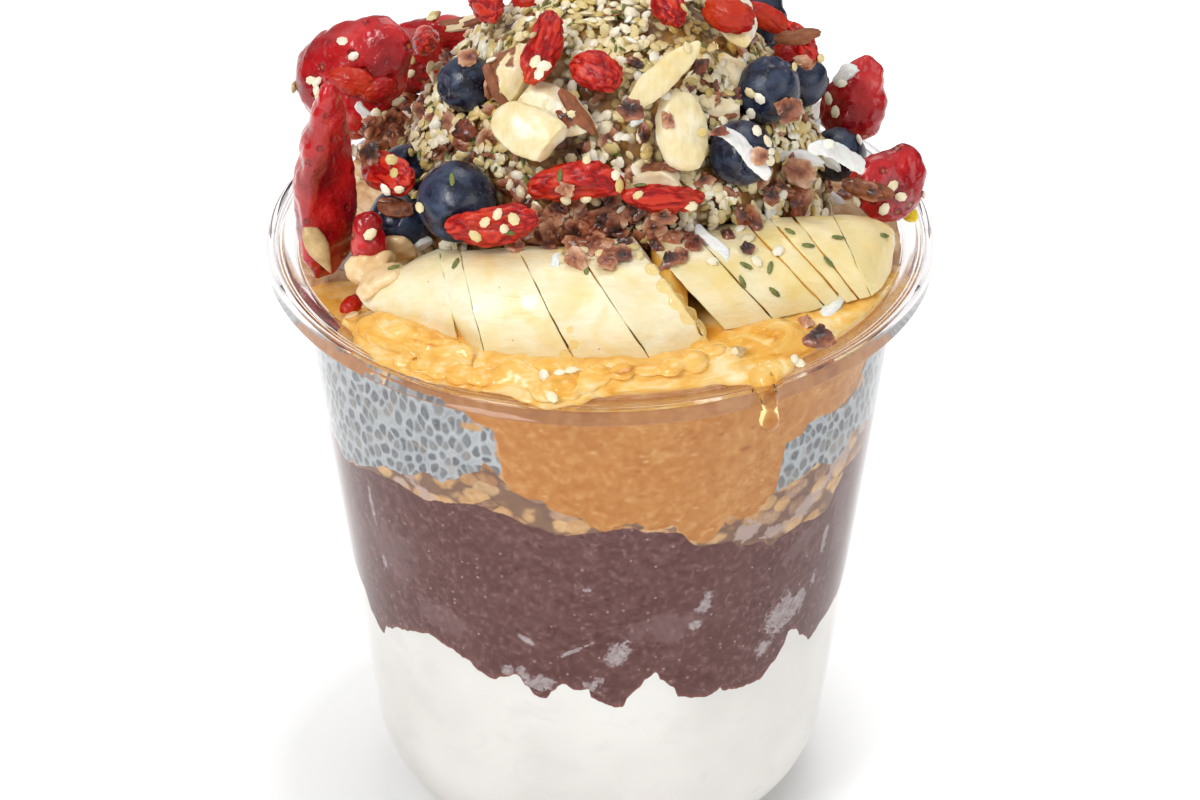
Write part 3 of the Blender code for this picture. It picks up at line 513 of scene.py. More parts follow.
def butterFinish():
    material = newMaterial("peanutButter", 0.38, Specular_IOR_Level=0.35,
                           Coat_Weight=0.25, Coat_Roughness=0.05)
    coords = objectCoords(material)
    broad = noisy(coords, 15, ((0.30, (182, 120, 52)), (0.50, (198, 142, 72)), (0.72, (214, 164, 98))),
                  3, 0.55, 0.5)
    swept = noisy(objectCoords(material, (1, 1, 1.8), (0, -28, 0)), 7,
                  ((0.34, (170, 94, 26)), (0.50, (196, 138, 66)), (0.68, (226, 180, 116))), 5, 0.68, 0.9)
    colour = mixed(0.58, broad, swept)
    # it is darker and oilier to the left of the front
    across, _, rise = partsOf(coords)
    oily = sums("ADD", sums("MULTIPLY", across, 14), noiseAt(coords, 12))
    colour = mixed(ramp(oily, ((0.2, 0.45), (0.6, 0.0))), colour, (186, 120, 46))
    mottled = noisy(coords, 1.9, ((0.32, (136, 70, 20)), (0.52, (198, 140, 72)), (0.68, (242, 204, 142))),
                    5, 0.72)
    colour = mixed(0.48, colour, mottled)
    brown = pushed(objectCoords(material, (0.6, 0.6, 1.3), (10, 25, 0)), 500, 0.0012)
    colour = laid(colour, speckles(brown, 2.8, 0.26, 0.22), 0.62, (136, 68, 30))
    colour = laid(colour, speckles(coords, 1.1, 0.20, 0.18), 0.6, (132, 74, 34))
    pale = pushed(objectCoords(material, (0.7, 0.7, 1.6), place=(0.1, 0.2, 0)), 500, 0.001)
    colour = laid(colour, speckles(pale, 2.0, 0.24, 0.22), 0.55, (234, 200, 146))
    colour = mixed(0.44, colour, (168, 94, 0))
    # above the rim and away from the wall it is honeyed and lighter where the light falls on it, a painted
    # light on the top, with creamy and toasted streaks
    above = sums("MULTIPLY", sums("SUBTRACT", rise, tub["height"] - 1 * mm), 300)
    offWall = sums("GREATER_THAN", partsOf(wallCoords(material))[1], 0.5)
    top = sums("MAXIMUM", ramp(above, ((0.0, 0.0), (0.5, 1.0))), offWall)
    honeyed = noisy(objectCoords(material, (0.45, 0.45, 1.8)), 3.4,
                    ((0.26, (204, 126, 40)), (0.38, (240, 176, 74)), (0.52, (248, 200, 106)),
                     (0.68, (252, 230, 176))), 5, 0.62, 0.7)
    relief = grained(objectCoords(material, (0.5, 0.5, 1.4)), 1.6, 0.25, 4)
    return finished(material, laid(colour, top, 0.94, honeyed), relief, ramp(top, ((0.0, 0.45), (1.0, 0.20))))


def bananaFinish():
    material = newMaterial("bananaFlesh", 0.30, Subsurface_Weight=0.16, Subsurface_Scale=0.003,
                           Coat_Weight=0.30, Coat_Roughness=0.10)
    coords = objectCoords(material)
    broad = noisy(coords, 9, ((0.30, (246, 228, 174)), (0.52, (251, 238, 200)), (0.75, (253, 246, 222))),
                  3, 0.5, 0.3)
    streaks = noiseAt(objectCoords(material, (0.35, 1.6, 1.6), (0, 0, 28)), 1.6, 4, 0.6)
    colour = mixed(ramp(streaks, ((0.45, 0.0), (0.75, 0.35))), broad, (236, 208, 142))
    shifted = objectCoords(material, place=(0.05, 0.02, 0))
    honeyed = noisy(shifted, 7, ((0.54, 0.0), (0.68, 0.45)), 2, 0.5, 0.5)
    colour = mixed(honeyed, colour, (240, 210, 112))
    # honey has run over the right half
    runny = sums("ADD", sums("MULTIPLY", partsOf(coords)[0], 30), noiseAt(coords, 8))
    colour = mixed(ramp(runny, ((0.95, 0.0), (1.0, 0.10), (1.0, 0.10))), colour, (236, 196, 84))
    colour = mixed(ramp(sums("SUBTRACT", runny, 1.0), ((0.0, 0.0), (0.8, 0.42))), colour, (244, 208, 104))
    colour = laid(colour, speckles(coords, 2.4, 0.10, 0.10), 0.5, (160, 112, 60))
    return finished(material, colour, grained(coords, 1.2, 0.10, 3, bumpFrom(streaks, 0.18)))


def blueberryFinish():
    material = newMaterial("blueberrySkin", 0.30)
    coords = objectCoords(material)
    bloom = noisy(coords, 3.2, ((0.42, 0.0), (0.66, 1.0)), 5, 0.62, 0.6)
    skin = noisy(coords, 9, ((0.35, (18, 20, 32)), (0.65, (32, 38, 58))), 2)
    colour = laid(skin, bloom, 0.62, (66, 82, 112))
    colour = laid(colour, speckles(coords, 0.8, 0.26, 0.30), 0.30, (116, 128, 148))
    return finished(material, colour, grained(coords, 0.9, 0.07, 4), ramp(bloom, ((0.0, 0.20), (1.0, 0.48))))


def strawberryFinish():
    material = newMaterial("strawberryFlesh", 0.24, Specular_IOR_Level=0.3,
                           Coat_Weight=0.6, Coat_Roughness=0.03)
    coords = objectCoords(material)
    # the broad red rises to a pale pink, partly the berry's own colour and partly a painted highlight of
    # glare, laid at random
    broad = noisy(coords, 8, ((0.30, (116, 4, 10)), (0.48, (170, 12, 20)), (0.62, (200, 30, 34)),
                              (0.78, (220, 84, 76))), 4)
    veins = noisy(objectCoords(material, (1, 1, 0.4)), 2.4, ((0.52, 0.0), (0.78, 0.30)), 4, 0.6)
    # dark red round each seed, a painted shade in its pit; the same mask sinks the pits by bump
    seedPitsAndShade = speckles(coords, 2.9, 0.34, 0.8)
    colour = laid(mixed(veins, broad, (206, 56, 50)), seedPitsAndShade, 0.55, (88, 0, 4))
    colour = laid(colour, speckles(coords, 2.9, 0.15, 0.8), 0.85, (176, 112, 44))
    pits = bumpFrom(ramp(seedPitsAndShade, ((0.0, 1.0), (1.0, 0.0))), 0.35)
    soft = bumpFrom(noiseAt(coords, 4.5, 3, 0.6), 0.9, pits)
    return finished(material, colour, grained(coords, 1.3, 0.16, 3, soft))


def gojiFinish():
    # "tone" is low in the folds of the dried skin, and the folds are painted darker, a painted shade in the
    # creases
    material = newMaterial("gojiSkin", 0.30, Specular_IOR_Level=0.35)
    coords = objectCoords(material)
    folds = sums("ADD", valueOf(material, "tone"), wavering(coords, 0.8, 0.5))
    colour = ramp(folds, ((0.0, (124, 4, 4)), (0.35, (164, 12, 10)), (0.70, (188, 26, 16)),
                          (1.0, (206, 54, 32))))
    colour = mixed(noisy(coords, 11, ((0.52, 0.0), (0.70, 0.45)), 2), colour, (226, 86, 28))
    return finished(material, colour, grained(coords, 0.7, 0.14))


def nutFinish(name, skinSide, cover):
    # skinSide points to the brown skin, cover says how much of the nut it takes
    material = newMaterial(name, 0.36, Coat_Weight=0.3, Coat_Roughness=0.12,
                           Subsurface_Weight=0.12, Subsurface_Scale=0.002)
    coords = objectCoords(material)
    flesh = noisy(coords, 6, ((0.30, (238, 214, 148)), (0.50, (243, 228, 182)), (0.72, (249, 243, 222))))
    lines = noisy(objectCoords(material, (3, 1, 0.5), (30, 20, 0)), 2.0, ((0.5, 0.0), (0.72, 0.30)))
    flesh = mixed(lines, flesh, (224, 190, 116))
    skin = noisy(objectCoords(material, (3, 3, 0.6), (0, 40, 20)), 2.0,
                 ((0.32, (104, 56, 28)), (0.65, (168, 104, 60))), 4, 0.6)
    normal = newNode(material.node_tree, "NewGeometry").outputs["Normal"]
    facing = sums("DOT_PRODUCT", normal, Vector(skinSide).normalized(), kind="VectorMath")
    wavered = sums("ADD", facing, wavering(coords, 2.4, 0.5))
    mask = ramp(sums("SUBTRACT", wavered, 1 - cover, clamp=True), ((0.0, 0.0), (0.06, 1.0)))
    return finished(material, mixed(mask, flesh, skin), grained(coords, 1.4, 0.16, 4))


def coconutFinish():
    material = newMaterial("coconutShred", 0.42, Subsurface_Weight=0.25, Subsurface_Scale=0.002)
    fibres = noiseAt(objectCoords(material, (0.4, 2, 0.4), (0, 35, 0)), 1.0, 4, 0.6)
    colour = ramp(fibres, ((0.3, (234, 231, 226)), (0.7, (252, 251, 248))))
    return finished(material, colour, bumpFrom(fibres, 0.2))


def nibFinish():
    # "tone" is low in the hollows and high on the broken edges: the hollows are painted dark, a painted
    # shade, and the broken edges pale, partly their own colour and partly a painted highlight
    material = newMaterial("cacaoNib", 0.36, Coat_Weight=0.45, Coat_Roughness=0.12)
    coords = objectCoords(material)
    wavered = sums("ADD", valueOf(material, "tone"), wavering(coords, 1.6, 1.1, 4, 0.6))
    colour = ramp(wavered, ((0.0, (50, 20, 12)), (0.22, (112, 56, 34)), (0.44, (160, 94, 62)),
                         (0.70, (196, 138, 100)), (1.0, (228, 190, 160))))
    colour = mixed(noisy(coords, 6, ((0.55, 0.0), (0.68, 0.55)), 2), colour, (158, 66, 28))
    return finished(material, colour, grained(coords, 0.9, 0.25, 4))


def hempFinish():
    material = newMaterial("hempHeart", 0.36, Coat_Weight=0.2, Coat_Roughness=0.12)
    coords = objectCoords(material)
    body = ramp(valueOf(material, "tone"), ((0.0, (206, 182, 104)), (0.25, (232, 214, 158)),
                                            (0.6, (243, 232, 196)), (1.0, (250, 246, 232))))
    honeyed = noisy(coords, 12, ((0.50, 0.0), (0.68, 0.6)), 3, 0.5, 0.4)
    colour = mixed(honeyed, body, (224, 186, 84))
    colour = laid(colour, speckles(coords, 2.0, 0.26, 0.12), 0.45, (150, 146, 78))
    return finished(material, colour, grained(coords, 0.8, 0.08))


def toneFinish(name, dark, light, size, roughness=0.5, depth=0.15):
    # a plain grain finish: two colours by noise, shaded by each grain's own tone
    material = newMaterial(name, roughness)
    coords = objectCoords(material)
    body = noisy(coords, size, ((0.32, dark), (0.68, light)), 4, 0.6)
    colour = laid(body, valueOf(material, "tone"), 0.5, light)
    return finished(material, colour, grained(coords, size * 0.5, depth, 4))


def seedBedFinish():
    # the grains that lie under the loose ones: cells of seed, some of them nibs, sunk in brown that is darker
    # between the grains, partly the wet mix and partly a painted shade
    material = newMaterial("wetSeedBed", 0.28, Coat_Weight=0.3, Coat_Roughness=0.1)
    coords = objectCoords(material)
    cells = cellsAt(coords, 2.3)
    seed = ramp(partsOf(cells["Color"])[0],
                ((0.0, (86, 42, 28)), (0.16, (150, 96, 62)), (0.20, (206, 182, 118)), (0.6, (232, 216, 166)),
                 (1.0, (244, 236, 208))))
    body = ramp(cells["Distance"], ((0.34, 1.0), (0.62, 0.0)), "EASE")
    wetGapAndShade = noisy(coords, 7, ((0.35, (96, 60, 34)), (0.65, (176, 128, 62))))
    honeyed = noisy(objectCoords(material, place=(0.3, 0, 0)), 9, ((0.54, 0.0), (0.68, 0.5)))
    colour = mixed(honeyed, mixed(body, wetGapAndShade, seed), (200, 150, 56))
    return finished(material, colour, grained(coords, 0.9, 0.1, 3, bumpFrom(body, 0.7)))


# The tub: a ring extruded and resized along its profile, from under the base up, over and down inside

def slopeAngle():
    return math.atan(tub["slope"])


def footRadius():
    cornerTop = tub["corner"] * (1 - math.sin(slopeAngle()))
    return (tub["mouthRadius"] - tub["slope"] * (tub["height"] - cornerTop)
            - tub["corner"] * math.cos(slopeAngle()))


def wallRadius(height, inset):
    # the tub's outer face, moved in by inset
    reach = tub["corner"] - inset
    if height >= tub["corner"] - reach * math.sin(slopeAngle()):
        return tub["mouthRadius"] - tub["slope"] * (tub["height"] - height) - inset / math.cos(slopeAngle())
    drop = min(reach, tub["corner"] - height)
    return footRadius() + math.sqrt(reach ** 2 - drop ** 2)


def cornerArc(inset, steps):
    reach = tub["corner"] - inset
    points = []
    for i in range(steps + 1):
        turn = -math.pi / 2 + (math.pi / 2 - slopeAngle()) * i / steps
        points.append((footRadius() + reach * math.cos(turn), tub["corner"] + reach * math.sin(turn)))
    return points


def turned(name, profile, columns):
    deselectAll()
    radius, height = profile[0]
    bpy.ops.mesh.primitive_circle_add(vertices=columns, radius=radius, fill_type="TRIFAN",
                                      location=(0, 0, height))
    piece = bpy.context.object
    setPlace(piece)
    startEdit(piece)
    mesh = bmesh.from_edit_mesh(piece.data)
    for vert in mesh.verts:
        vert.select = math.hypot(vert.co.x, vert.co.y) > radius / 2
    mesh.select_flush_mode()
    bmesh.update_edit_mesh(piece.data)
    for (r0, z0), (r1, z1) in zip(profile, profile[1:]):
        bpy.ops.mesh.extrude_region_move(TRANSFORM_OT_translate={"value": (0, 0, z1 - z0)})
        bpy.ops.transform.resize(value=(r1 / r0, r1 / r0, 1), center_override=(0, 0, z1))
    bpy.ops.mesh.edge_face_add()
    bpy.ops.mesh.poke()
    bpy.ops.mesh.select_all(action="SELECT")
    bpy.ops.mesh.normals_make_consistent(inside=False)
    endEdit()
    piece.name = name
    return piece


def makeTub():
    top, outer, mouth = tub["height"], tub["rimRadius"], tub["mouthRadius"]
    outside = [(tub["footInner"] - 1.5 * mm, tub["footRise"]), (tub["footInner"], 0.0)] + cornerArc(0, 14)
    # two faint rings where the base corner was moulded
    ringed = []
    for radius, height in outside:
        step = 0.10 * mm if 9 * mm < height < 12 * mm or height > 15 * mm else 0.0
        ringed.append((radius - step, height))
    under = tub["rimSection"][0][1]
    rim = [(wallRadius(top - 9 * mm, 0), top - 9 * mm)]
    rim.append((wallRadius(top - 8.6 * mm, -0.12 * mm), top - 8.6 * mm))
    rim.append((wallRadius(top - (under + 0.5) * mm, -0.1 * mm), top - (under + 0.5) * mm))
    rim.append((mouth + 0.5 * mm, top - under * mm))
    rim += [(outer - inward * mm, top - below * mm) for inward, below in tub["rimSection"]]
    rim += [(mouth + outward * mm, top - below * mm) for outward, below in tub["mouthSection"]]
    rim += [(wallRadius(top - below * mm, tub["wall"]), top - below * mm) for below in (0.9, 2.5)]
    inside = cornerArc(tub["wall"], 14)[::-1]
    floor = [(tub["footInner"], tub["wall"]), (tub["footInner"] - 1.5 * mm, tub["footRise"] + tub["wall"])]
    piece = turned("clearTub", ringed + rim + inside + floor, tub["columns"])
    smoothShade(piece, 50)
    hand(piece, "clearTub", glassFinish("clearPlastic", tub["tint"], 1.12, 0.02), "tub", "tub")
    # the thick rim bends and tints more light than the thin wall on the food
    piece.data.materials.append(glassFinish("clearRim", tub["rimTint"], 1.34, 0.05))
    for face in piece.data.polygons:
        if face.center.z > top - 3.6 * mm and face.center.xy.length > mouth - 0.9 * mm:
            face.material_index = 1
    return piece


# The layers. Each edge at the wall is a row of (degrees from the front, mm from the rim) points

layers = {
    "columns": 720,
    "wallRows": 12,
    "faceRows": 5,
    "yogurtTop": (
        (-180, -69), (-150, -66), (-120, -71), (-95, -64), (-78, -61), (-69.5, -63.5), (-66, -68),
        (-61, -70.2), (-58, -67.3), (-52, -65), (-45.5, -63.1), (-41.5, -61.9), (-36, -62.8), (-31, -64.1),
        (-28.3, -65.9), (-24.8, -66.9), (-21.5, -65.5), (-18.8, -64.6), (-16.6, -66.8), (-14.5, -68.8),
        (-12.4, -69.1), (-10.6, -67.0), (-8.5, -65.2), (-5.5, -66.4), (-2.6, -66.2), (-1.9, -68.2),
        (0.6, -69.3), (3, -70.3), (5.2, -70.4), (6.2, -68.3), (8.6, -66.2), (10.3, -64.3), (12.6, -63.0),
        (13.8, -65.0), (16.6, -66.9), (18.0, -69.3), (20.9, -70.3), (25.0, -71.1), (27.5, -70.6),
        (28.6, -69.9), (29.4, -70.9), (36.3, -71.7), (39.9, -71.6), (43.8, -69.0), (46.3, -66.6),
        (47.6, -63.6), (50.0, -64.2), (53.0, -66.9), (57.4, -69.7), (62.6, -68.0), (71, -66.8), (82, -63),
        (100, -68), (125, -65), (150, -70)),
    "acaiTop": (
        (-180, -36), (-140, -33.5), (-110, -38), (-85, -31), (-70, -32.4), (-66, -34.3), (-60, -32.6),
        (-53, -30.6), (-45, -29.4), (-37.5, -30.3), (-33.4, -29.2), (-25, -27.5), (-20, -28.2),
        (-13.0, -30.0), (-7.8, -31.3), (-2, -30.5), (5.2, -29.5), (10.0, -30.8), (15.5, -31.6),
        (20.5, -35.6), (26.9, -36.1), (30, -38.2), (35, -38.6), (37.7, -40.6), (41, -39.6), (46, -38.9),
        (51, -39.9), (55.4, -40.0), (58.0, -36.4), (61.5, -33.5), (68, -33.8), (74, -30.5), (90, -35),
        (115, -32), (145, -37)),
    "granolaTop": (
        (-180, -33.5), (-140, -30.5), (-110, -35), (-85, -30.6), (-70, -32.1), (-66, -34.0), (-60, -32.2),
        (-52, -29.4), (-48.6, -27.4), (-44, -27.0), (-40.5, -26.2), (-36.5, -23.8), (-33, -24.8),
        (-29.9, -23.3), (-26.5, -21.0), (-24.0, -20.0), (-22.6, -17.6), (-21.4, -18.2), (-19.4, -20.6),
        (-16.8, -23.0), (-13.9, -24.0), (-11.5, -23.8), (-9.4, -25.8), (-6.5, -26.7), (-3.8, -27.1),
        (-2.0, -29.0), (0.6, -30.1), (2.8, -30.0), (5.2, -28.5), (7.4, -28.6), (10.0, -30.4), (12.4, -30.3),
        (14.6, -29.8), (16.6, -32.1), (18.4, -33.8), (21.0, -35.1), (23.2, -34.8), (25.2, -32.4),
        (26.5, -30.3), (29.2, -31.9), (32.5, -31.7), (34.7, -30.5), (36.0, -28.9), (39.0, -28.6),
        (43, -28.0), (49.0, -27.1), (54.2, -29.4), (58.6, -28.6), (61.1, -26.0), (66, -27.0), (72, -28.6),
        (90, -32), (115, -29.5), (145, -34)),
    "butterBottom": (
        (-180, 9), (-96, 9), (-80, 0), (-70, -7.6), (-62, -8.6), (-56.4, -6.6), (-44, -4.6), (-30, -4.5),
        (-27.2, -5.8), (-25.6, -7.9), (-23.6, -9.4), (-20.4, -9.9), (-19.8, -11.4), (-19.3, -14.2),
        (-18.9, -20), (-18.2, -40), (36.6, -40), (37.9, -24.2), (38.4, -18.4), (42.4, -18.2), (44.2, -16.4),
        (46.6, -15.9), (50.2, -17.0), (54.6, -17.6), (58.2, -17.2), (60.2, -15.0), (62.4, -12.2),
        (64.2, -8.2), (68, -3.4), (76, 2.0), (90, 8), (110, 9)),
    "yogurtInside": -68.0,
    "acaiInside": -35.0,
    "granolaInside": -31.5,
    "butterInside": -7.0,
}
acai = {
    "smears": (   # degrees, mm below the rim, width, height, turn
        (43.5, 58.6, 5.6, 9.5, -25), (49.5, 57.8, 4.2, 4.6, 20), (39.4, 64.0, 3.0, 4.2, -30),
        (3.6, 58.0, 3.4, 5.6, -38), (22.6, 49.4, 2.4, 6.2, -22), (21.0, 53.2, 1.6, 2.6, -35),
        (-13.8, 65.8, 6.0, 3.2, 10), (-20.8, 64.0, 2.4, 2.2, 0), (-17.4, 64.2, 2.6, 3.0, 30),
        (-1.6, 65.4, 4.0, 2.6, 30), (-16.4, 55.8, 3.4, 1.2, -32), (-5.2, 57.2, 6.4, 0.9, 32),
        (56.5, 46.6, 1.3, 7.0, -14), (54.0, 54.6, 1.6, 3.8, -20), (-55.5, 38.6, 1.2, 8.5, 12),
        (-2.6, 43.4, 2.0, 1.0, 0), (-54.0, 50.8, 1.3, 3.2, 14)),
    "veils": (
        (14.5, 52.4, 14, 6, 0), (7.6, 53.4, 5, 4, 20), (48.0, 43.4, 9, 4.5, 22), (-50, 46, 12, 14, 20),
        (62, 44, 6, 16, 0), (-38, 56, 12, 6, -15)),
}
granola = {
    "smears": (
        (47.5, 35.2, 15, 3.4, 26), (57.5, 28.8, 8, 6.5, 40), (39, 37.4, 7, 2.2, 10), (31.0, 35.2, 5, 3.4, 0),
        (64.5, 24.5, 6, 8, 10), (-38.5, 28.4, 8, 3.0, -28), (-44, 28.8, 4, 2.4, 0)),
}


def edgeHeight(curve, degrees, torn=0.35):
    # a layer's edge at the wall, with the fine unevenness of spooned food
    fine = torn * ripple(degrees, 3.0, size=1.6, octaves=3) + torn * 0.6 * ripple(degrees, 9.0, size=0.7)
    return tub["height"] + (readCurve(layers[curve], degrees) + fine) * mm


def layerFace(curve, inside, degrees, share, torn=0.35):
    middle = tub["height"] + layers[inside] * mm
    return middle + (edgeHeight(curve, degrees, torn) - middle) * smoothStep(0.15, 0.95, share)


def yogurtTop(degrees, share):
    return layerFace("yogurtTop", "yogurtInside", degrees, share)


def acaiTop(degrees, share):
    return layerFace("acaiTop", "acaiInside", degrees, share, 0.25)


def granolaTop(degrees, share):
    height = layerFace("granolaTop", "granolaInside", degrees, share, 0.25)
    return max(height, acaiTop(degrees, share) + 0.02 * mm)


def butterBottom(degrees, share):
    return layerFace("butterBottom", "butterInside", degrees, share, 0.3)


filling = {
    "runs": (   # degrees, mm below the rim, width, height, turn
        (-19.4, 14.5, 1.8, 6.0, 8), (-19.0, 20.6, 1.4, 3.0, -10), (-24.6, 10.4, 4.0, 1.6, 10),
        (-33, 6.6, 7.0, 1.8, 0), (40.2, 17.6, 3.4, 1.6, 10), (47.0, 15.6, 5.0, 1.6, 0),
        (60.4, 15.2, 2.6, 3.4, -30)),
    "back": -3.0,       # mm from the rim, at the back and the sides
    "front": 1.6,       # where it is heaped to the rim
    "ridge": (
        (-180, 0), (-54, 0), (-47, 1.9), (-36, 2.3), (-26, 1.8), (-16, 1.3), (20, 1.3), (36, 1.7), (49, 0),
        (100, 0)),
    # how far peanut butter lies out over the rim, mm from the mouth
    "spill": (
        (-180, 0.4), (-52, 0.5), (-47, 2.7), (-39, 4.5), (-31, 4.4), (-23.3, 3.4), (-16, 2.8), (-12.4, 4.6),
        (-8.8, 5.9), (-4.1, 4.0), (0, 1.4), (6, 0.4), (13.6, 0.4), (20.2, 0.9), (24.8, 2.8), (28.5, 5.0),
        (34.2, 3.4), (37.6, 1.2), (45, 0.5), (70, 0.4)),
}


def fillingTop(degrees, share):
    angle = (degrees + 180) % 360 - 180
    front = 1 - smoothStep(60, 74, abs(angle - 10))
    edge = filling["back"] + (filling["front"] - filling["back"]) * front
    base = -1.0 + (edge + 1.0) * smoothStep(0.1, 0.42, share)
    return tub["height"] + base * mm


def wrapped(name, columns, rows, place):
    # a grid whose rows are rolled round the axis: place(degrees, row) gives each point
    deselectAll()
    bpy.ops.mesh.primitive_grid_add(x_subdivisions=columns, y_subdivisions=rows, size=2)
    piece = bpy.context.object
    cache = {}
    for vert in piece.data.vertices:
        column = round((vert.co.x + 1) / 2 * columns) % columns
        row = round((vert.co.y + 1) / 2 * rows)
        if (column, row) not in cache:
            cache[column, row] = place(-180 + 360 * column / columns, row)
        vert.co = cache[column, row]
    startEdit(piece)
    bpy.ops.mesh.select_all(action="SELECT")
    bpy.ops.mesh.remove_doubles(threshold=0.00001)
    bpy.ops.mesh.dissolve_degenerate(threshold=0.00001)
    bpy.ops.mesh.select_all(action="SELECT")
    bpy.ops.mesh.normals_make_consistent(inside=False)
    endEdit()
    piece.name = name
    return piece


def mapWall(piece):
    # a map of the wall: metres round it from the front, and metres up
    mesh = piece.data
    for old in list(mesh.uv_layers):
        mesh.uv_layers.remove(old)
    chart = mesh.uv_layers.new(name="wall")
    for face in mesh.polygons:
        centre = math.atan2(face.center.x, -face.center.y)
        for corner in face.loop_indices:
            co = mesh.vertices[mesh.loops[corner].vertex_index].co
            if face.center.xy.length < 0.985 * wallRadius(face.center.z, tub["wall"]):
                chart.data[corner].uv = (co.x, co.y + 1)
                continue
            turn = math.atan2(co.x, -co.y)
            while turn - centre > math.pi:
                turn -= math.tau
            while centre - turn > math.pi:
                turn += math.tau
            chart.data[corner].uv = (turn * wallRadius(co.z, 0), co.z)


def setValue(piece, name, rule):
    mesh = piece.data
    attribute = mesh.attributes.new(name, "FLOAT", "POINT")
    attribute.data.foreach_set("value", [rule(v.co) for v in mesh.vertices])


def layerPiece(name, lower, upper):
    # the section runs from the axis out along the lower face, up the wall and back along the upper face
    faceRows, wallRows = layers["faceRows"], layers["wallRows"]
    shares = [0.0, 0.3, 0.6, 0.8, 0.93, 1.0]

    def place(degrees, row):
        if row <= faceRows:
            height = lower(degrees, shares[row])
            share = shares[row]
        elif row < faceRows + wallRows:
            part = (row - faceRows) / wallRows
            low, high = lower(degrees, 1), upper(degrees, 1)
            height, share = low + (high - low) * part, 1
        else:
            share = shares[2 * faceRows + wallRows - row]
            height = upper(degrees, share)
        if share == 0:
            return Vector((0, 0, lower(0, 0) if row == 0 else upper(0, 0)))
        return polar(degrees, wallRadius(height, tub["wall"] - bite) * share, height)

    piece = wrapped(name, layers["columns"], 2 * faceRows + wallRows, place)
    mapWall(piece)
    smoothShade(piece, 60)
    return piece


def makeYogurt():
    inset = tub["wall"] - bite
    floor = [(0.0, tub["footRise"] + inset), (0.5 * tub["footInner"], tub["footRise"] + inset),
             (tub["footInner"] - 0.9 * mm, tub["footRise"] + inset), (tub["footInner"] + 0.6 * mm, inset)]
    floor += cornerArc(inset, 10)
    start = floor[-1][1]
    shares = [0.93, 0.8, 0.6, 0.3, 0.0]
    wallRows = 12

    def place(degrees, row):
        if row < len(floor):
            radius, height = floor[row]
            return polar(degrees if radius else 0, radius, height)
        top = yogurtTop(degrees, 1)
        if row < len(floor) + wallRows:
            height = start + (top - start) * (row - len(floor) + 1) / wallRows
            return polar(degrees, wallRadius(height, inset), height)
        share = shares[row - len(floor) - wallRows]
        height = yogurtTop(degrees if share else 0, share)
        return polar(degrees if share else 0, wallRadius(height, inset) * share, height)

    piece = wrapped("yogurtLayer", layers["columns"], len(floor) + wallRows + len(shares) - 1, place)
    mapWall(piece)
    smoothShade(piece, 60)
    return hand(piece, "yogurtLayer", yogurtFinish(), "yogurt", "yogurt")


def makeAcai():
    piece = layerPiece("acaiLayer", yogurtTop, acaiTop)

    def aboveEdge(co):
        edge = yogurtTop(math.degrees(math.atan2(co.x, -co.y)), 1)
        return (co.z - edge) / mm + 0.5 * ripple(co.x, co.y, co.z, 2 * mm)

    setValue(piece, "aboveEdge", aboveEdge)
    return hand(piece, "acaiLayer", acaiFinish(), "acai", "acai")


def makeGranola():
    piece = layerPiece("granolaLayer", acaiTop, granolaTop)
    return hand(piece, "granolaLayer", granolaFinish(), "granola", "granola")


def makeChia():
    def smear(degrees, share):
        # what climbs the wall, at the back and the sides
        side = smoothStep(48, 62, abs((degrees + 180) % 360 - 180))
        return side * smoothStep(0.9, 1.0, share) * (1.0 + 0.9 * ripple(degrees, 3.0, size=9, octaves=4)) * mm

    def top(degrees, share):
        height = min(butterBottom(degrees, share), fillingTop(degrees, share))
        return smear(degrees, share) + max(height, granolaTop(degrees, share) + 0.01 * mm)

    piece = layerPiece("chiaLayer", granolaTop, top)
    return hand(piece, "chiaLayer", chiaFinish(), "chia", "chia_pudding")


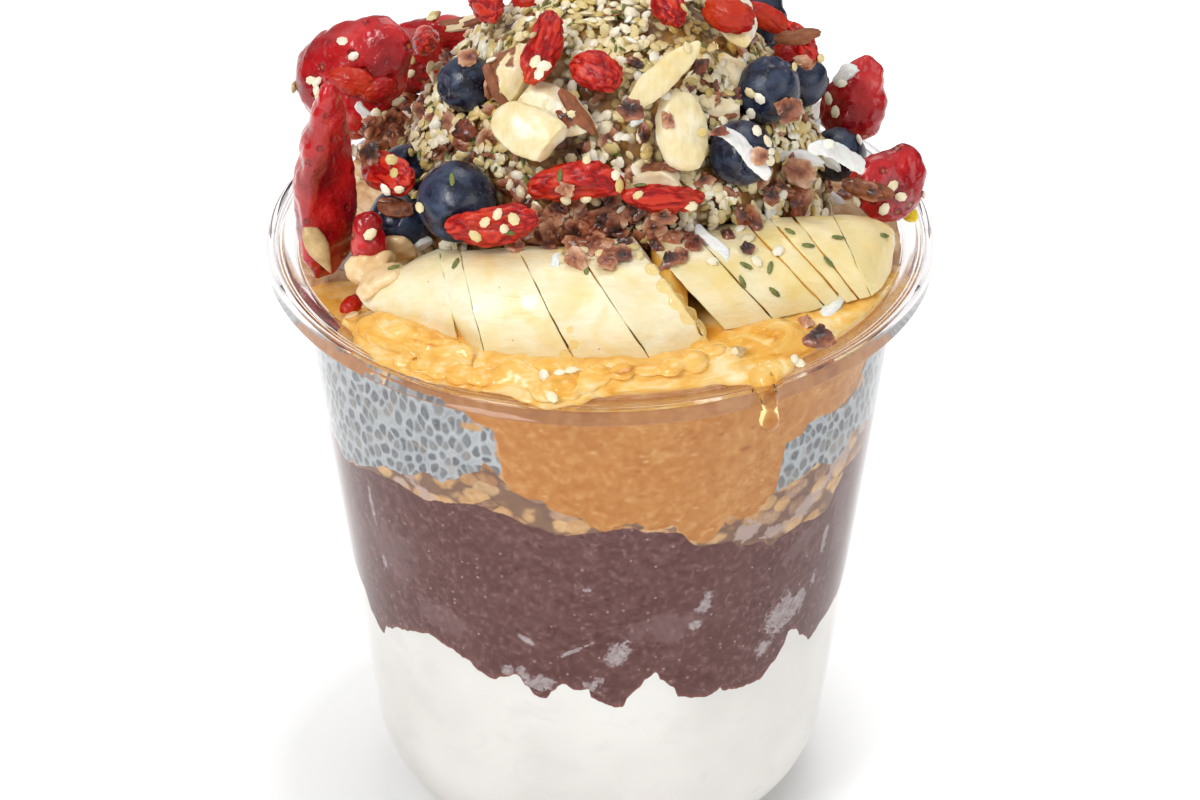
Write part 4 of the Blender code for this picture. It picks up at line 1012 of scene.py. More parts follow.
def makeButter():
    # down to the chia pudding or the granola, heaped at the front and smeared out over the rim
    inset = tub["wall"] - bite
    top, mouth = tub["height"], tub["mouthRadius"] - tub["wall"] + bite
    shares = [0.0, 0.35, 0.7, 0.9, 1.0]
    innerShares = [0.93, 0.90, 0.86, 0.8, 0.7, 0.6, 0.4, 0.2, 0.0]
    wallRows, beadRows = 12, 9

    def lower(degrees, share):
        return max(granolaTop(degrees, share), butterBottom(degrees, share))

    def swirl(degrees, radius):
        # strokes of the spoon, drawn out along the rim
        return ripple(degrees * 0.16, radius / mm * 0.55, size=1.0, octaves=3)

    def place(degrees, row):
        surface = fillingTop(degrees, 1)
        buried = butterBottom(degrees, 1) > surface - 0.2 * mm
        front = surface > top + 0.4 * mm
        if row < len(shares):
            share = shares[row]
            height = min(lower(degrees, share), fillingTop(degrees, share) - 0.6 * mm)
            if not share:
                return Vector((0, 0, lower(0, 0)))
            return polar(degrees, wallRadius(height, inset) * share, height)
        low = min(lower(degrees, 1), surface - 0.6 * mm)
        brink = min(surface, top - 1.0 * mm) - 0.3 * mm
        step = row - len(shares) + 1
        if step <= wallRows:
            height = low + (max(brink, low) - low) * step / wallRows
            return polar(degrees, wallRadius(height, inset), height)
        step -= wallRows
        spill = readCurve(filling["spill"], degrees) + 0.35 * ripple(degrees, 1.0, size=2.6, octaves=3)
        edge = mouth + max(0.3, spill) * mm
        ridge = readCurve(filling["ridge"], degrees) + 0.6 * ripple(degrees, 5.0, size=7, octaves=3)
        crest = surface + ridge * mm
        if step <= beadRows:
            part = step / beadRows
            if not front:
                height = max(brink, low) + (surface - (0.35 * mm if buried else 0) - max(brink, low)) * part
                return polar(degrees, wallRadius(height, inset) - part * 0.8 * mm, height)
            rise = crest - top
            outline = (
                (mouth - 0.05 * mm, -0.35 * mm),
                (max(mouth, edge - 0.25 * mm), -0.04 * mm),
                (edge, 0.25 * mm),
                (edge - 0.3 * mm, 0.6 * mm),
                ((edge + mouth) / 2, 0.85 * mm),
                (mouth + 0.1 * mm, 1.1 * mm),
                (mouth - 0.9 * mm, 0.5 * rise + 0.4 * mm),
                (mouth - 1.7 * mm, 0.88 * rise),
                (mouth - 2.8 * mm, rise),
            )
            radius, height = outline[step - 1]
            if step >= 4:
                height += 0.45 * mm * swirl(degrees, radius)
            return polar(degrees, radius, top + height)
        share = innerShares[step - beadRows - 1]
        height = fillingTop(degrees if share else 0, share)
        fade = smoothStep(0.72, 0.93, share) * (1 if front else 0)
        height += (crest - surface) * fade + 0.4 * mm * swirl(degrees, share * mouth) * (1 if share else 0)
        if butterBottom(degrees, share) > fillingTop(degrees, share) - 0.2 * mm and share > 0.3:
            height = fillingTop(degrees, share) - 0.4 * mm
        return polar(degrees if share else 0, wallRadius(top, inset) * share, height)

    rows = len(shares) - 1 + wallRows + beadRows + len(innerShares)
    piece = wrapped("peanutButter", layers["columns"], rows, place)
    mapWall(piece)
    smoothShade(piece, 70)
    return hand(piece, "peanutButter", butterFinish(), "butter", "peanut_butter")


made = {}    # the toppings, by node name
base = {}    # what they lie in

print("tools ready")
makeStudio()
camera = makeCamera()
print("camera and studio ready")
base["tub"] = makeTub()
print("tub turned")
makeYogurt()
makeAcai()
makeGranola()
base["chia"] = makeChia()
base["butter"] = makeButter()
print("layers poured")


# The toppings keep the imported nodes' forms: each is a rounded, wrinkled copy of its node

def surfacesOf(pieces):
    corners, faces, owners = [], [], []
    for name in sorted(pieces):
        mesh = pieces[name].data
        start = len(corners)
        corners += [v.co.copy() for v in mesh.vertices]
        for face in mesh.polygons:
            faces.append([start + i for i in face.vertices])
            owners.append(name)
    return BVHTree.FromPolygons(corners, faces), owners


def copyOf(name):
    mesh = nodes[name].data.copy()
    piece = bpy.data.objects.new(name + "Looks", mesh)
    bpy.context.scene.collection.objects.link(piece)
    for layer in list(mesh.uv_layers):
        mesh.uv_layers.remove(layer)
    startEdit(piece)
    bpy.ops.mesh.select_all(action="SELECT")
    bpy.ops.mesh.remove_doubles(threshold=0.00002)
    bpy.ops.mesh.tris_convert_to_quads(face_threshold=math.radians(40), shape_threshold=math.radians(60))
    bpy.ops.mesh.normals_make_consistent(inside=False)
    endEdit()
    return piece


def swell(piece, factor):
    # makes up for what rounding takes away
    mesh = piece.data
    centre = sum((v.co for v in mesh.vertices), Vector()) / len(mesh.vertices)
    for vert in mesh.vertices:
        vert.co = centre + (vert.co - centre) * factor


def bevelled(piece, width, segments):
    useModifier(piece, "BEVEL", width=width * mm, segments=segments, limit_method="ANGLE",
                angle_limit=math.radians(50))


def rounded(piece, levels, factor=1.0):
    if factor != 1.0:
        swell(piece, factor)
    useModifier(piece, "SUBSURF", levels=levels, render_levels=levels)


def wrinkled(piece, depth, size, seed):
    # moves every point along its normal by noise
    mesh = piece.data
    normals = [v.normal.copy() for v in mesh.vertices]
    for vert, normal in zip(mesh.vertices, normals):
        value = noise.fractal(vert.co / (size * mm) + Vector((seed * 7.3, seed, 0)), 0.9, 2.1, 3)
        vert.co += normal * value * depth * mm


def foldAlong(piece, seed, spacing, depth):
    # folds the skin of a dried berry along its length; "tone" tells the finish how deep each point lies, for
    # the painted shade in the folds
    points = [v.co.copy() for v in piece.data.vertices]
    centre = sum(points, Vector()) / len(points)
    far = max(points, key=lambda p: (p - centre).length)
    axis = (far - max(points, key=lambda p: (p - far).length)).normalized()
    tones = []
    for vert, normal in zip(piece.data.vertices, [v.normal.copy() for v in piece.data.vertices]):
        along = (vert.co - centre).dot(axis)
        spot = (vert.co - centre - axis * along) / (spacing * mm) + axis * along / (4 * spacing * mm)
        fold = min(1.0, 2.4 * abs(noise.fractal(spot + Vector((seed * 5.1, seed, 2)), 0.9, 2.1, 3)))
        vert.co += normal * (fold - 0.55) * depth * mm
        tones.append(fold)
    piece.data.attributes.new("tone", "FLOAT", "POINT").data.foreach_set("value", tones)


honey = {
    "sides": 72,             # of each disc in a cut
    "sunk": 0.3 * mm,        # below the slices, in a cut
    "wideSunk": 1.3 * mm,    # and in the wide gap
    "dripTurn": 28.3,        # degrees from the front
    "drip": (                # mm from the axis, mm over the rim, radius in mm
        (56.6, 1.0, 2.2), (57.6, 0.7, 2.1), (58.5, 0.2, 1.9), (59.2, -0.7, 1.7), (59.6, -1.9, 1.5),
        (59.7, -3.1, 1.4), (59.7, -4.3, 1.5), (59.7, -5.4, 1.8), (59.6, -6.1, 1.7)),
}


def joined(pieces):
    pick(pieces[0])
    for piece in pieces:
        piece.select_set(True)
    bpy.ops.object.join()
    return bpy.context.object


def cutFiller(left, right):
    # a disc of honey in the cut between two slices, kept under the lower of them all round
    faces = [f for f in nodes[left].data.polygons if f.normal.x > 0.3]
    axis = max((f.normal.copy() for f in faces),
               key=lambda way: sum(f.area for f in faces if f.normal.dot(way) > 0.99))
    ends = []
    for name, side in ((left, 1), (right, -1)):
        reach = max(v.co.dot(axis) * side for v in nodes[name].data.vertices)
        cut = [v.co for v in nodes[name].data.vertices if v.co.dot(axis) * side > reach - 0.3 * mm]
        ends.append((sum(cut, Vector()) / len(cut), surfacesOf({name: made[name]})[0], side))
    sunk = honey["wideSunk"] if (ends[1][0] - ends[0][0]).dot(axis) > 1.5 * mm else honey["sunk"]
    inSlice, start = 0.8 * mm, 40 * mm    # how deep its ends lie in the slices, and where the rays start
    step = 360 / honey["sides"]
    across = axis.cross(Vector((0, 0, 1))).normalized()
    upward = across.cross(axis)
    deselectAll()
    bpy.ops.mesh.primitive_cylinder_add(vertices=honey["sides"], radius=1, depth=2, end_fill_type="TRIFAN")
    filler = bpy.context.object
    radii = {}
    for vert in filler.data.vertices:
        end = ends[0] if vert.co.z < 0 else ends[1]
        if vert.co.xy.length < 0.5:
            vert.co = end[0] - axis * end[2] * inSlice
            continue
        turn = round(math.degrees(math.atan2(vert.co.y, vert.co.x)) / step) % honey["sides"]
        way = across * math.cos(math.radians(turn * step)) + upward * math.sin(math.radians(turn * step))
        if turn not in radii:
            hits = [tree.ray_cast(centre - axis * side * 0.9 * mm + way * start, -way)[3]
                    for centre, tree, side in ends]
            radii[turn] = max(0.0, start - max(hit if hit else start for hit in hits) - sunk)
        vert.co = end[0] - axis * end[2] * inSlice + way * radii[turn]
    return filler


def makeBanana():
    finish = bananaFinish()
    names = sorted(n for n in nodes if n.startswith("banana_slice"))
    for name in names:
        piece = copyOf(name)
        # each slice swells sideways, so that only a thin cut stays between two
        low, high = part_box(name)
        grow = 1 + 0.50 * mm / (high.x - low.x)
        centre = (low + high) / 2
        for vert in piece.data.vertices:
            vert.co.x = centre.x + (vert.co.x - centre.x) * grow
        bevelled(piece, 0.25, 2)
        rounded(piece, 2)
        if name in (names[0], names[-1]):
            useModifier(piece, "SMOOTH", factor=0.5, iterations=14)
            swell(piece, 1.03)
        wrinkled(piece, 0.30, 5, int(name[-2:]))
        smoothShade(piece, 60)
        made[name] = hand(piece, name.replace("banana_slice", "bananaSlice"), finish, "banana", name)
    # honey has sunk into the cuts and the wide gap
    fillers = joined([cutFiller(left, right) for left, right in zip(names, names[1:])])
    hand(fillers, "honeyInCuts", toneFinish("soakedHoney", (206, 142, 44), (232, 182, 84), 6, 0.2), "banana")


toppings = {
    # slot: the node's and the piece's name, growth to make up for the rounding, wrinkles as
    # (depth, size, seed), and for a dried skin how far apart and how deep its folds are
    "blueberry": ("blueberry_", "blueberry", 1.035, ((0.12, 5, 0),), None),
    "strawberry": ("strawberry_", "strawberry", 1.05, ((1.0, 8, 0), (0.25, 3.0, 4)), None),
    "goji": ("goji_berry_", "goji", 1.05, ((0.5, 5, 0),), (1.35, 0.42)),
    "coconut": ("coconut_strip_", "coconutStrip", 1.02, ((0.25, 1.6, 0),), None),
}


def makeTopping(slot, finish):
    start, shortName, growth, wrinkles, folds = toppings[slot]
    for name in sorted(n for n in nodes if n.startswith(start)):
        piece = copyOf(name)
        rounded(piece, 3, growth)
        for depth, size, seed in wrinkles:
            wrinkled(piece, depth, size, int(name[-2:]) + seed)
        if folds:
            foldAlong(piece, int(name[-2:]), *folds)
        smoothShade(piece)
        made[name] = hand(piece, name.replace(start, shortName), finish, slot, name)


nuts = {
    # node: the side its brown skin is on, and how much it covers
    "almond_piece_01": ((-1.0, -0.2, 0.2), 0.55),
    "almond_piece_02": ((1.0, 0.1, -0.5), 0.55),
    "almond_piece_03": ((-0.6, 0.3, -0.8), 0.35),
    "almond_piece_04": ((0.1, 0.6, -1.0), 0.30),
    "almond_piece_05": ((1.0, 0.5, -0.3), 0.30),
    "almond_piece_06": ((0.6, -0.3, -0.8), 0.60),
    "almond_piece_07": ((0.0, 0.7, 0.6), 0.75),
}


def makeNuts():
    for name, (side, cover) in nuts.items():
        piece = copyOf(name)
        bevelled(piece, 0.3, 1)
        rounded(piece, 3, 1.03)
        wrinkled(piece, 0.30, 3.4, int(name[-2:]))
        smoothShade(piece)
        finish = nutFinish("almond" + name[-2:], side, cover)
        made[name] = hand(piece, name.replace("almond_piece_", "almondPiece"), finish, "nut", name)


makeBanana()
makeTopping("blueberry", blueberryFinish())
makeTopping("strawberry", strawberryFinish())
makeTopping("goji", gojiFinish())
makeNuts()
makeTopping("coconut", coconutFinish())
print("toppings rounded:", len(made))


# The mound of hemp hearts and cacao nibs

def makeCore():
    piece = copyOf("topping_heap")
    useModifier(piece, "REMESH", mode="VOXEL", voxel_size=0.75 * mm)
    wrinkled(piece, 0.45, 2.2, 3)
    smoothShade(piece)
    made["topping_heap"] = hand(piece, "seedBed", seedBedFinish(), "seeds", "topping_heap")


def grainShape(kind, seed):
    # one grain at unit size, as (points, faces)
    deselectAll()
    rng = random.Random(seed)
    rounds = {"berry": (40, 24), "kernel": (20, 12), "hemp": (7, 4)}
    if kind in rounds:
        segments, rings = rounds[kind]
        bpy.ops.mesh.primitive_uv_sphere_add(segments=segments, ring_count=rings, radius=0.5)
    elif kind in ("nib", "lump"):
        bpy.ops.mesh.primitive_ico_sphere_add(subdivisions=3, radius=0.5)
    else:
        bpy.ops.mesh.primitive_cube_add(size=1)
        startEdit(bpy.context.object)
        bpy.ops.mesh.select_all(action="SELECT")
        bpy.ops.mesh.subdivide(number_cuts=7)
        endEdit()
    piece = bpy.context.object
    facets = [(Vector([rng.uniform(-1, 1) for _ in range(3)]).normalized(), rng.uniform(0.18, 0.42))
              for _ in range(11)]
    hollow = rng.uniform(0.35, 0.85)
    for vert in piece.data.vertices:
        way = vert.co.normalized()
        x, y, z = vert.co
        if kind == "nib":
            # a broken curl of shell: flat breaks outside, eaten hollow on the upper side
            reach = 0.5
            for facet, depth in facets:
                if way.dot(facet) > 0.05:
                    reach = min(reach, depth / way.dot(facet))
            fold = max(0.0, 0.30 - abs(ripple(way.x, way.y, way.z + seed, 1.3, 2))) / 0.30
            rough = 1.30 + 0.20 * ripple(way.x, way.y, way.z + seed * 2, 0.45, 3) - 0.42 * fold
            vert.co = way * reach * rough * (1 - hollow * smoothStep(0.25, 0.95, way.z))
        elif kind == "lump":
            vert.co *= 1 + 0.16 * ripple(way.x, way.y, way.z + seed, 0.7, 3)
        elif kind in ("strip", "husk"):
            # a bent strip, ragged at its edges and thin at its ends
            end = 1 - 0.45 * abs(2 * x) ** 3
            bend = 0.9 if kind == "strip" else 1.6
            vert.co.y = (y * end * (1 + 0.35 * ripple(x * 3, seed, y, 1.0, 2))
                         + 0.5 * ripple(x * 1.5, seed * 3.1, 0, 1.0, 1))
            vert.co.z = (z * end + bend * (0.12 - x * x) + 0.5 * ripple(x * 2, y * 2, seed, 1.0, 2)
                         - 1.4 * y * y)
            vert.co.x = x * (1 + 0.15 * ripple(y * 3, seed, 0, 1.0, 1))
        elif kind == "berry":
            fold = min(1.0, 2.4 * abs(ripple(way.x * 0.8, way.y * 3, way.z * 3 + seed, 1.0, 3)))
            vert.co *= 0.88 + 0.14 * fold
        else:
            taper = (1 - 0.22 * (x + 0.5)) if kind == "hemp" else (1 - 0.62 * smoothStep(-0.1, 0.5, x))
            vert.co.y *= taper
            vert.co.z *= taper
    points = [v.co.copy() for v in piece.data.vertices]
    faces = [tuple(f.vertices) for f in piece.data.polygons]
    mesh = piece.data
    bpy.data.objects.remove(piece)
    bpy.data.meshes.remove(mesh)
    return points, faces


def scattered(name, grains, material, slot, paintedLightAndShade=False, smooth=40):
    # joins grains, each (shape, matrix, tone), into one piece; if the fifth argument is set, they are paler
    # where they stick out and darker in their hollows, painted light and painted shade
    points, faces, tones = [], [], []
    for (shapePoints, shapeFaces), matrix, tone in grains:
        start = len(points)
        points += [matrix @ p for p in shapePoints]
        faces += [tuple(start + i for i in face) for face in shapeFaces]
        tones += [0.55 * tone + 1.5 * (p.length - 0.28) if paintedLightAndShade else tone for p in shapePoints]
    mesh = bpy.data.meshes.new(name)
    mesh.from_pydata(points, [], faces)
    mesh.attributes.new("tone", "FLOAT", "POINT").data.foreach_set("value", tones)
    piece = bpy.data.objects.new(name, mesh)
    bpy.context.scene.collection.objects.link(piece)
    smoothShade(piece, smooth)
    print(name, len(grains), "grains,", sum(len(f) - 2 for f in faces), "triangles")
    return hand(piece, name, material, slot)


def lying(spot, normal, size, rng, lift=0.3, tip=25):
    # a matrix that lays a grain on a surface, turned at random and tipped a little
    upright = normal.to_track_quat("Z", "Y").to_matrix().to_4x4()
    tips = [math.radians(rng.uniform(-tip, tip)) for _ in range(2)]
    turns = Euler((*tips, rng.uniform(0, math.tau)), "ZYX")
    size = Vector(size) * mm
    matrix = Matrix.Translation(spot + normal * size.z * lift) @ upright @ turns.to_matrix().to_4x4()
    return matrix @ Matrix.Diagonal((size.x, size.y, size.z, 1))


def laidAt(surfaces, u, v, size, spin, lift=0.28, lean=0.7):
    # a matrix that lays a grain on what is seen at a pixel of the photo, its length turned there by spin
    tree, owners = surfaces
    spot, normal, index, _ = tree.ray_cast(*pixelRay(u, v))
    if spot is None:
        return None
    right, up, toward = [camera.matrix_world.col[i].xyz for i in range(3)]
    if normal.dot(toward) < 0:
        normal = -normal
    facing = (normal + toward * lean).normalized()
    along = right * math.cos(math.radians(spin)) + up * math.sin(math.radians(spin))
    along = (along - facing * along.dot(facing)).normalized()
    axes = Matrix((along, facing.cross(along), facing)).transposed().to_4x4()
    rise = size[2] * lift + (mound["looseSeeds"] if owners[index] == "topping_heap" else 0)
    scale = Matrix.Diagonal([a * mm for a in size] + [1])
    return Matrix.Translation(spot + normal * rise * mm) @ axes @ scale


mound = {
    "centre": Vector((2, 8, 110)) * mm,
    "half": Vector((41, 36, 47)) * mm,
    "looseSeeds": 1.3,    # mm of them, which placed grains lie on
}


def moundRay(rng):
    # from outside the mound to a random place on it
    climb = math.asin(rng.uniform(-0.02, 1.0))
    turn = rng.uniform(-math.pi, math.pi)
    ball = Vector((math.sin(turn) * math.cos(climb), -math.cos(turn) * math.cos(climb), math.sin(climb)))
    outside = mound["centre"] + Vector(a * b * 1.5 for a, b in zip(mound["half"], ball))
    onMound = mound["centre"] + Vector(a * b for a, b in zip(mound["half"], ball))
    return outside, (onMound - outside).normalized(), climb


seeds = {
    "hempTries": 5600,
    "hempOnToppings": 0.04,   # share of them that may lie on fruit
    "hempSize": (1.9, 2.8),   # mm long
    "hempThick": 0.42,        # of its length
    "hempLift": 1.4,          # how loosely they are heaped
    "nibTries": 420,
    "nibSize": ((3.2, 6.2), (2.6, 4.4), (2.0, 3.4)),
    "fleckTries": 520,
    "fleckSize": ((1.4, 2.8), (0.7, 1.4), (0.3, 0.6)),
}

# What stands out in the photo, by its pixels: each is dropped along the camera's ray on what lies there
placed = {
    "nibs": (   # u, v, length and width in mm, turn
        (535, 236, 6.6, 4.6, 10), (558, 232, 5.0, 4.4, 60), (580, 234, 5.8, 4.4, -30),
        (598, 212, 7.2, 3.4, -5), (612, 226, 4.6, 3.6, 30), (640, 238, 4.8, 3.6, -40),
        (652, 222, 4.6, 4.0, 40), (664, 212, 4.4, 3.4, 0), (672, 240, 4.8, 3.6, 20),
        (688, 236, 5.2, 4.0, 70), (694, 246, 3.6, 3.0, 0), (668, 262, 4.4, 3.6, 40),
        (682, 258, 3.4, 3.0, 10), (655, 248, 4.2, 3.0, -60), (590, 248, 3.4, 2.8, 0),
        (752, 226, 8.4, 3.8, -60), (762, 196, 4.8, 3.8, 10), (784, 206, 7.6, 6.0, -75),
        (790, 174, 7.0, 4.6, -20), (784, 106, 6.4, 5.6, 50), (822, 192, 5.2, 3.8, -20),
        (866, 188, 7.6, 3.0, -12), (844, 196, 3.8, 3.0, 0), (630, 108, 6.4, 4.4, -10),
        (642, 138, 4.4, 2.8, -70), (700, 178, 4.2, 3.2, 20), (738, 212, 4.0, 3.2, -60),
        (436, 78, 4.8, 4.4, 20), (450, 54, 4.4, 4.2, 30), (470, 60, 5.0, 3.2, 40), (412, 104, 5.8, 4.0, 20),
        (388, 112, 4.8, 3.6, 60), (404, 126, 3.6, 2.6, -20), (460, 112, 5.0, 2.4, 12),
        (474, 128, 6.0, 4.4, 8), (468, 142, 5.0, 3.2, -10), (404, 140, 4.6, 2.8, 60),
        (490, 86, 4.6, 3.8, 30), (760, 158, 4.2, 3.2, 10), (398, 204, 5.2, 2.4, 0),
        (566, 118, 4.4, 2.6, -30), (668, 120, 3.8, 2.4, -50), (476, 30, 5.2, 4.2, 50),
        (808, 60, 4.4, 3.8, 10), (816, 340, 6.0, 5.4, 10), (806, 324, 3.6, 3.0, -30),
        (746, 250, 3.6, 2.8, 50), (720, 132, 3.4, 2.6, 30), (636, 70, 3.6, 2.6, 0), (520, 250, 3.4, 2.8, 0),
        (728, 236, 3.4, 2.6, -40), (548, 248, 3.6, 2.8, 30), (564, 246, 4.0, 3.0, 0),
        (606, 240, 4.0, 3.0, 60), (624, 244, 3.4, 2.6, -20)),
    "hemp": (
        (343, 42), (354, 56), (318, 82), (318, 90), (312, 80), (410, 72), (356, 180), (388, 142),
        (370, 234), (400, 188), (412, 196), (512, 184), (524, 192), (540, 74), (544, 66), (536, 62),
        (760, 98), (752, 112), (756, 132), (766, 142), (770, 152), (768, 160), (830, 98), (836, 112),
        (842, 84), (520, 174), (736, 352), (722, 188), (716, 196), (706, 192), (730, 200), (740, 230),
        (748, 240), (712, 262), (756, 262), (778, 252), (498, 214), (486, 222), (560, 374), (545, 376),
        (572, 372), (552, 396), (794, 360), (798, 364), (884, 208), (900, 196), (858, 200), (892, 186),
        (690, 206)),
    "patches": (   # u, v, reach in pixels, how many, share of nibs
        (384, 124, 17, 90, 0.22), (404, 108, 14, 60, 0.15), (372, 150, 12, 30, 0.2), (600, 226, 60, 40, 0.6),
        (580, 236, 40, 30, 0.7)),
    "flecks": (
        (774, 292), (828, 262), (884, 236), (770, 268), (808, 246), (838, 238), (508, 232), (452, 180),
        (560, 176), (456, 264), (586, 270), (746, 266), (702, 62), (750, 60), (394, 268), (742, 282),
        (480, 142), (640, 186), (790, 232)),
    "shreds": (
        (713, 245, 9.0, 2.4, -66), (829, 309, 8.4, 2.2, 66), (826, 202, 6.6, 2.6, -18),
        (814, 120, 7.6, 2.0, 70), (792, 158, 10.0, 2.4, -6), (806, 136, 6.5, 1.8, 48),
        (828, 158, 6.0, 1.8, -50), (766, 208, 4.6, 1.8, 66), (343, 264, 6.0, 3.6, -34),
        (364, 112, 4.4, 1.8, -70), (418, 246, 5.0, 2.2, 16), (549, 220, 4.4, 2.0, 30),
        (846, 74, 5.0, 2.6, 20), (556, 262, 3.6, 1.6, 60), (470, 148, 3.4, 1.6, 10),
        (636, 122, 3.2, 1.4, 40)),
    "husks": (
        (651, 171, 13.5, 1.6, -8), (497, 88, 8.5, 2.2, -66), (577, 112, 9.5, 2.4, -54),
        (716, 90, 6.0, 1.4, -8), (714, 120, 7.0, 1.4, 6), (868, 189, 9.0, 3.0, -14),
        (798, 36, 8.0, 2.4, 10), (500, 22, 12.0, 1.8, -4), (396, 206, 6.2, 3.0, 0), (772, 52, 7.0, 1.8, 30),
        (600, 94, 4.5, 1.2, 60), (462, 22, 8.0, 1.6, 0)),
    "slivers": (
        (655, 180, 12.0, 3.6, -6), (735, 76, 9.6, 4.6, -20), (714, 108, 7.2, 4.2, 4),
        (468, 23, 8.0, 2.2, 8)),
    "kernels": ((317, 248, 9.6, 4.2, -60), (740, 352, 4.4, 2.6, 20)),
    "pollen": ((910, 219, 3.0, 2.8, 0), (568, 3, 4.6, 3.6, 0)),
    "berries": (
        (534, 8, 7.0, 5.0, 30), (730, 14, 9.5, 6.4, -14), (766, 18, 9.0, 4.6, -28), (790, 56, 6.2, 5.0, 60),
        (352, 80, 9.0, 5.0, -10), (378, 88, 7.0, 4.4, 16), (351, 308, 5.0, 3.4, 60)),
}
honeySpots = (   # u, v, radius in mm
    (545, 366, 2.4), (552, 374, 2.8), (560, 384, 3.0), (568, 378, 2.2), (550, 388, 2.0), (560, 394, 1.8),
    (652, 270, 1.5), (664, 286, 1.6), (676, 302, 1.6), (688, 316, 1.7), (700, 328, 1.9), (712, 335, 2.0),
    (726, 338, 2.2), (740, 342, 2.4), (752, 350, 2.4), (764, 358, 2.4), (772, 368, 2.2), (776, 378, 1.9),
    (760, 330, 1.8), (776, 334, 1.8), (700, 345, 1.8), (722, 52, 2.6), (716, 48, 2.0), (730, 56, 2.0),
    (570, 330, 0.9), (574, 344, 1.0), (566, 356, 1.4))
butterFolds = (   # u, v, radius in mm
    (366, 328, 2.4), (380, 334, 3.0), (396, 338, 3.2), (414, 342, 3.2), (432, 346, 3.0), (448, 350, 2.6),
    (462, 356, 2.4), (402, 362, 1.8), (420, 368, 2.2), (440, 372, 2.4), (460, 376, 2.6), (480, 378, 2.6),
    (500, 380, 2.6), (514, 374, 3.0), (530, 384, 3.2), (548, 392, 3.2), (566, 392, 3.0), (582, 384, 2.8),
    (598, 376, 2.4), (622, 372, 2.2), (646, 370, 2.2), (670, 368, 2.4), (694, 362, 2.6), (714, 352, 2.4))
creamFolds = (   # u, v, radius in mm
    (378, 268, 4.0), (392, 260, 4.2), (406, 254, 3.6), (370, 286, 3.2), (384, 276, 4.0), (360, 302, 2.6),
    (352, 316, 1.8), (396, 248, 4.0), (364, 270, 3.6))


def melted(drops, voxel):
    piece = joined(drops)
    useModifier(piece, "REMESH", mode="VOXEL", voxel_size=voxel * mm)
    useModifier(piece, "SMOOTH", factor=0.5, iterations=6)
    return piece


def runTogether(surfaces, spots, flat, voxel, rough):
    # drops on what is seen at the photo's pixels that run together into one soft body
    deselectAll()
    drops = []
    for u, v, radius in spots:
        matrix = laidAt(surfaces, u, v, (2 * radius, 2 * radius, 2 * radius * flat), 0, 0.05, 0.0)
        if matrix is None:
            continue
        bpy.ops.mesh.primitive_uv_sphere_add(segments=20, ring_count=12, radius=0.5)
        bpy.context.object.data.transform(matrix)
        drops.append(bpy.context.object)
    piece = melted(drops, voxel)
    wrinkled(piece, rough, 2.6, 5)
    smoothShade(piece)
    return piece


def makeSauces():
    surfaces = surfacesOf({**made, **base})
    folds = runTogether(surfaces, butterFolds, 0.42, 0.5, 0.25)
    base["folds"] = hand(folds, "butterFolds", bpy.data.materials["peanutButter"], "butter")
    cream = runTogether(surfaces, creamFolds, 0.34, 0.5, 0.3)
    creamy = toneFinish("butterCream", (226, 180, 118), (250, 228, 182), 7, 0.22, 0.2)
    base["cream"] = hand(cream, "creamFolds", creamy, "butter")
    runs = runTogether(surfacesOf({**made, **base}), honeySpots, 0.42, 0.35, 0.12)
    base["honey"] = hand(runs, "honeyRuns", glassFinish("honey", paint(250, 222, 150), 1.42, 0.03), None)
    # the drip that hangs over the lip
    deselectAll()
    drops = []
    for radius, height, size in honey["drip"]:
        place = polar(honey["dripTurn"], radius * mm, tub["height"] + height * mm)
        bpy.ops.mesh.primitive_uv_sphere_add(segments=20, ring_count=12, radius=size * mm, location=place)
        setPlace(bpy.context.object)
        drops.append(bpy.context.object)
    drip = melted(drops, 0.35)
    smoothShade(drip)
    hand(drip, "honeyDrip", bpy.data.materials["honey"], None)


def addGrain(grains, shapes, matrix, rng, low=0.0, high=1.0):
    # low and high are the limits of its tone
    if matrix is not None:
        grains.append((rng.choice(shapes), matrix, rng.uniform(low, high)))


def placedGrains(surfaces, kind, shapes, thick, rng, lift=0.28, lean=0.7):
    grains = []
    for u, v, long, wide, spin in placed[kind]:
        addGrain(grains, shapes, laidAt(surfaces, u, v, (long, wide, wide * thick), spin, lift, lean), rng)
    return grains


def makePlaced():
    rng = random.Random(5)
    surfaces = surfacesOf({**made, **base})
    strips = [grainShape("strip", i) for i in range(6)]
    husks = [grainShape("husk", i) for i in range(5)]
    lumps = [grainShape("lump", i) for i in range(2)]
    kernels = [grainShape("kernel", 1)]
    berries = [grainShape("berry", i) for i in range(5)]
    shreds = placedGrains(surfaces, "shreds", strips, 0.45, rng)
    scattered("coconutShreds", shreds, bpy.data.materials["coconutShred"], "coconut")
    scattered("nutSkins", placedGrains(surfaces, "husks", husks, 0.35, rng, 0.4),
              toneFinish("nutSkin", (78, 36, 18), (158, 92, 52), 1.6, 0.5, 0.25), "nut")
    scattered("nutSlivers", placedGrains(surfaces, "slivers", strips, 0.4, rng, 0.2),
              toneFinish("nutFlesh", (226, 196, 136), (246, 234, 204), 3.0, 0.35), "nut")
    scattered("sunflowerKernels", placedGrains(surfaces, "kernels", kernels, 0.5, rng),
              toneFinish("kernelSkin", (150, 108, 62), (222, 192, 136), 2.2, 0.4, 0.1), "seeds")
    scattered("beePollen", placedGrains(surfaces, "pollen", lumps, 0.9, rng, 0.3, 0),
              toneFinish("pollenGrain", (232, 176, 4), (250, 222, 30), 1.2, 0.4, 0.08), "seeds")
    small = placedGrains(surfaces, "berries", berries, 0.8, rng, 0.15)
    # loose goji, paler where they stick out and darker in their folds, painted light and shade
    scattered("looseGoji", small, bpy.data.materials["gojiSkin"], "goji", True, 180)


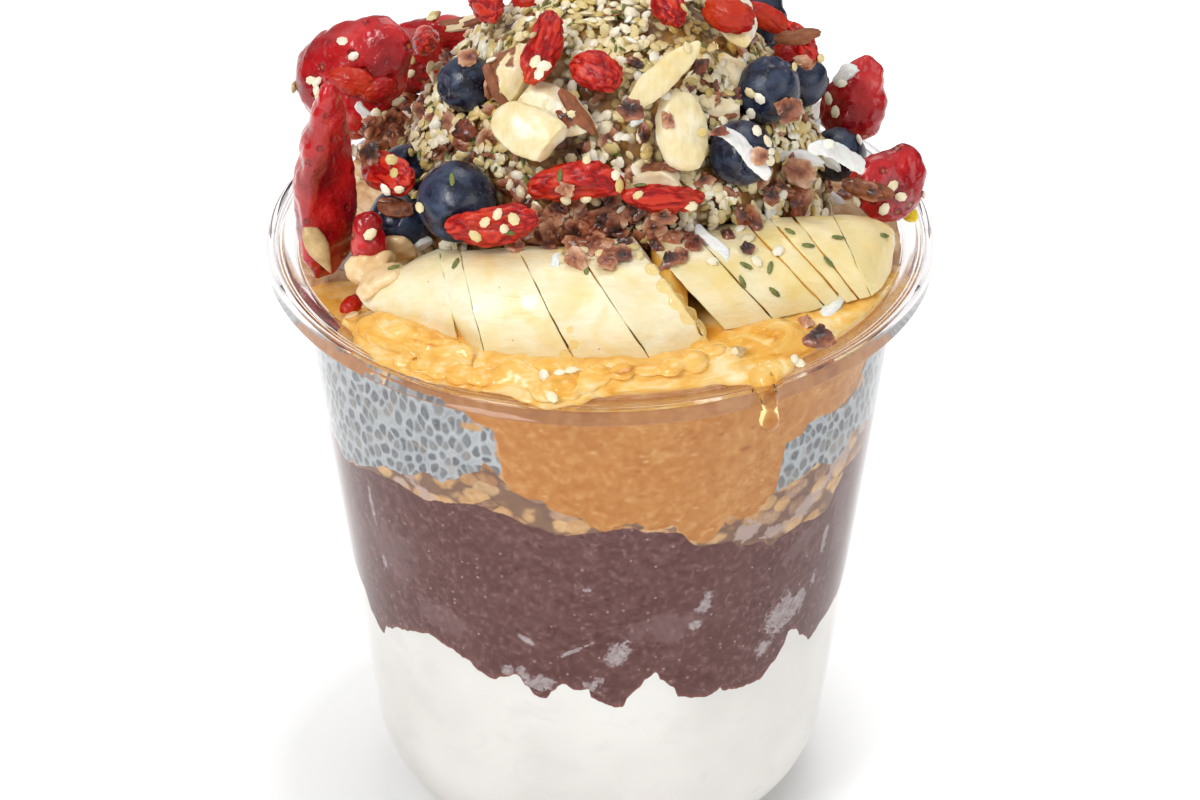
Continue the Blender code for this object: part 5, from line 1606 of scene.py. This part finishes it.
def strewn(surfaces, tries, rng):
    # random places on the mound, each with what lies there and how far up it is
    tree, owners = surfaces
    for _ in range(tries):
        start, way, climb = moundRay(rng)
        spot, normal, index, _ = tree.ray_cast(start, way)
        if spot is not None:
            yield spot, normal, owners[index], climb


def makeGrains():
    rng = random.Random(11)
    hempShapes = [grainShape("hemp", i) for i in range(2)]
    nibShapes = [grainShape("nib", i) for i in range(9)]
    surfaces = surfacesOf({**made, **base})
    nibs = placedGrains(surfaces, "nibs", nibShapes, 0.8, rng)
    hemp, flecks = [], []
    for u, v in placed["hemp"]:
        size = rng.uniform(2.1, 2.7)
        size = (size, size * 0.8, size * seeds["hempThick"])
        addGrain(hemp, hempShapes, laidAt(surfaces, u, v, size, rng.uniform(0, 180), 0.35, 0.2), rng, 0.5, 1)
    for u, v in placed["flecks"]:
        matrix = laidAt(surfaces, u, v, (2.6, 1.1, 0.5), rng.uniform(0, 180), 0.4, 0.2)
        addGrain(flecks, hempShapes, matrix, rng)
    for u, v, reach, count, share in placed["patches"]:
        for _ in range(count):
            far, turn = reach * math.sqrt(rng.random()), rng.uniform(0, math.tau)
            asNib = rng.random() < share
            long = rng.uniform(3.4, 5.4) if asNib else rng.uniform(2.0, 2.7)
            size = (long, long * rng.uniform(0.7, 0.9), long * (0.6 if asNib else seeds["hempThick"]))
            right, down = far * math.cos(turn), far * math.sin(turn) * 0.8
            matrix = laidAt(surfaces, u + right, v + down, size, rng.uniform(0, 180), 0.4, 0.4)
            addGrain(nibs if asNib else hemp, nibShapes if asNib else hempShapes, matrix, rng)
    # the rest is strewn over the mound, fewer nibs towards its top
    surfaces = surfacesOf(made)
    for spot, normal, owner, climb in strewn(surfaces, seeds["nibTries"], rng):
        if owner != "topping_heap" or rng.random() < 0.6 * smoothStep(0.7, 1.25, climb) + 0.2:
            continue
        size = [rng.uniform(*limits) for limits in seeds["nibSize"]]
        nibs.append((rng.choice(nibShapes), lying(spot, normal, size, rng, 0.35, 50), rng.random()))
    for spot, normal, owner, _ in strewn(surfaces, seeds["hempTries"], rng):
        onCore = owner == "topping_heap"
        if owner.startswith("banana") or (not onCore and rng.random() > seeds["hempOnToppings"]):
            continue
        size = rng.uniform(*seeds["hempSize"])
        lift = 0.35 + (rng.random() * seeds["hempLift"] if onCore else 0)
        size = (size, size * rng.uniform(0.74, 0.95), size * seeds["hempThick"])
        hemp.append((rng.choice(hempShapes), lying(spot, normal, size, rng, lift, 34), rng.random()))
    for spot, normal, owner, _ in strewn(surfaces, seeds["fleckTries"], rng):
        if owner != "topping_heap":
            continue
        size = [rng.uniform(*limits) for limits in seeds["fleckSize"]]
        flecks.append((rng.choice(hempShapes), lying(spot, normal, size, rng, 3.0, 50), rng.random()))
    # cacao nibs, paler where they stick out and darker in their hollows, painted light and shade
    scattered("cacaoNibs", nibs, nibFinish(), "seeds", True)
    scattered("hempHearts", hemp, hempFinish(), "seeds")
    hulls = toneFinish("hempHull", (58, 70, 26), (132, 138, 66), 1.2, 0.4)
    scattered("greenFlecks", flecks, hulls, "seeds")


makeCore()
makeSauces()
print("sauces run")
makePlaced()
makeGrains()
print("mound covered")
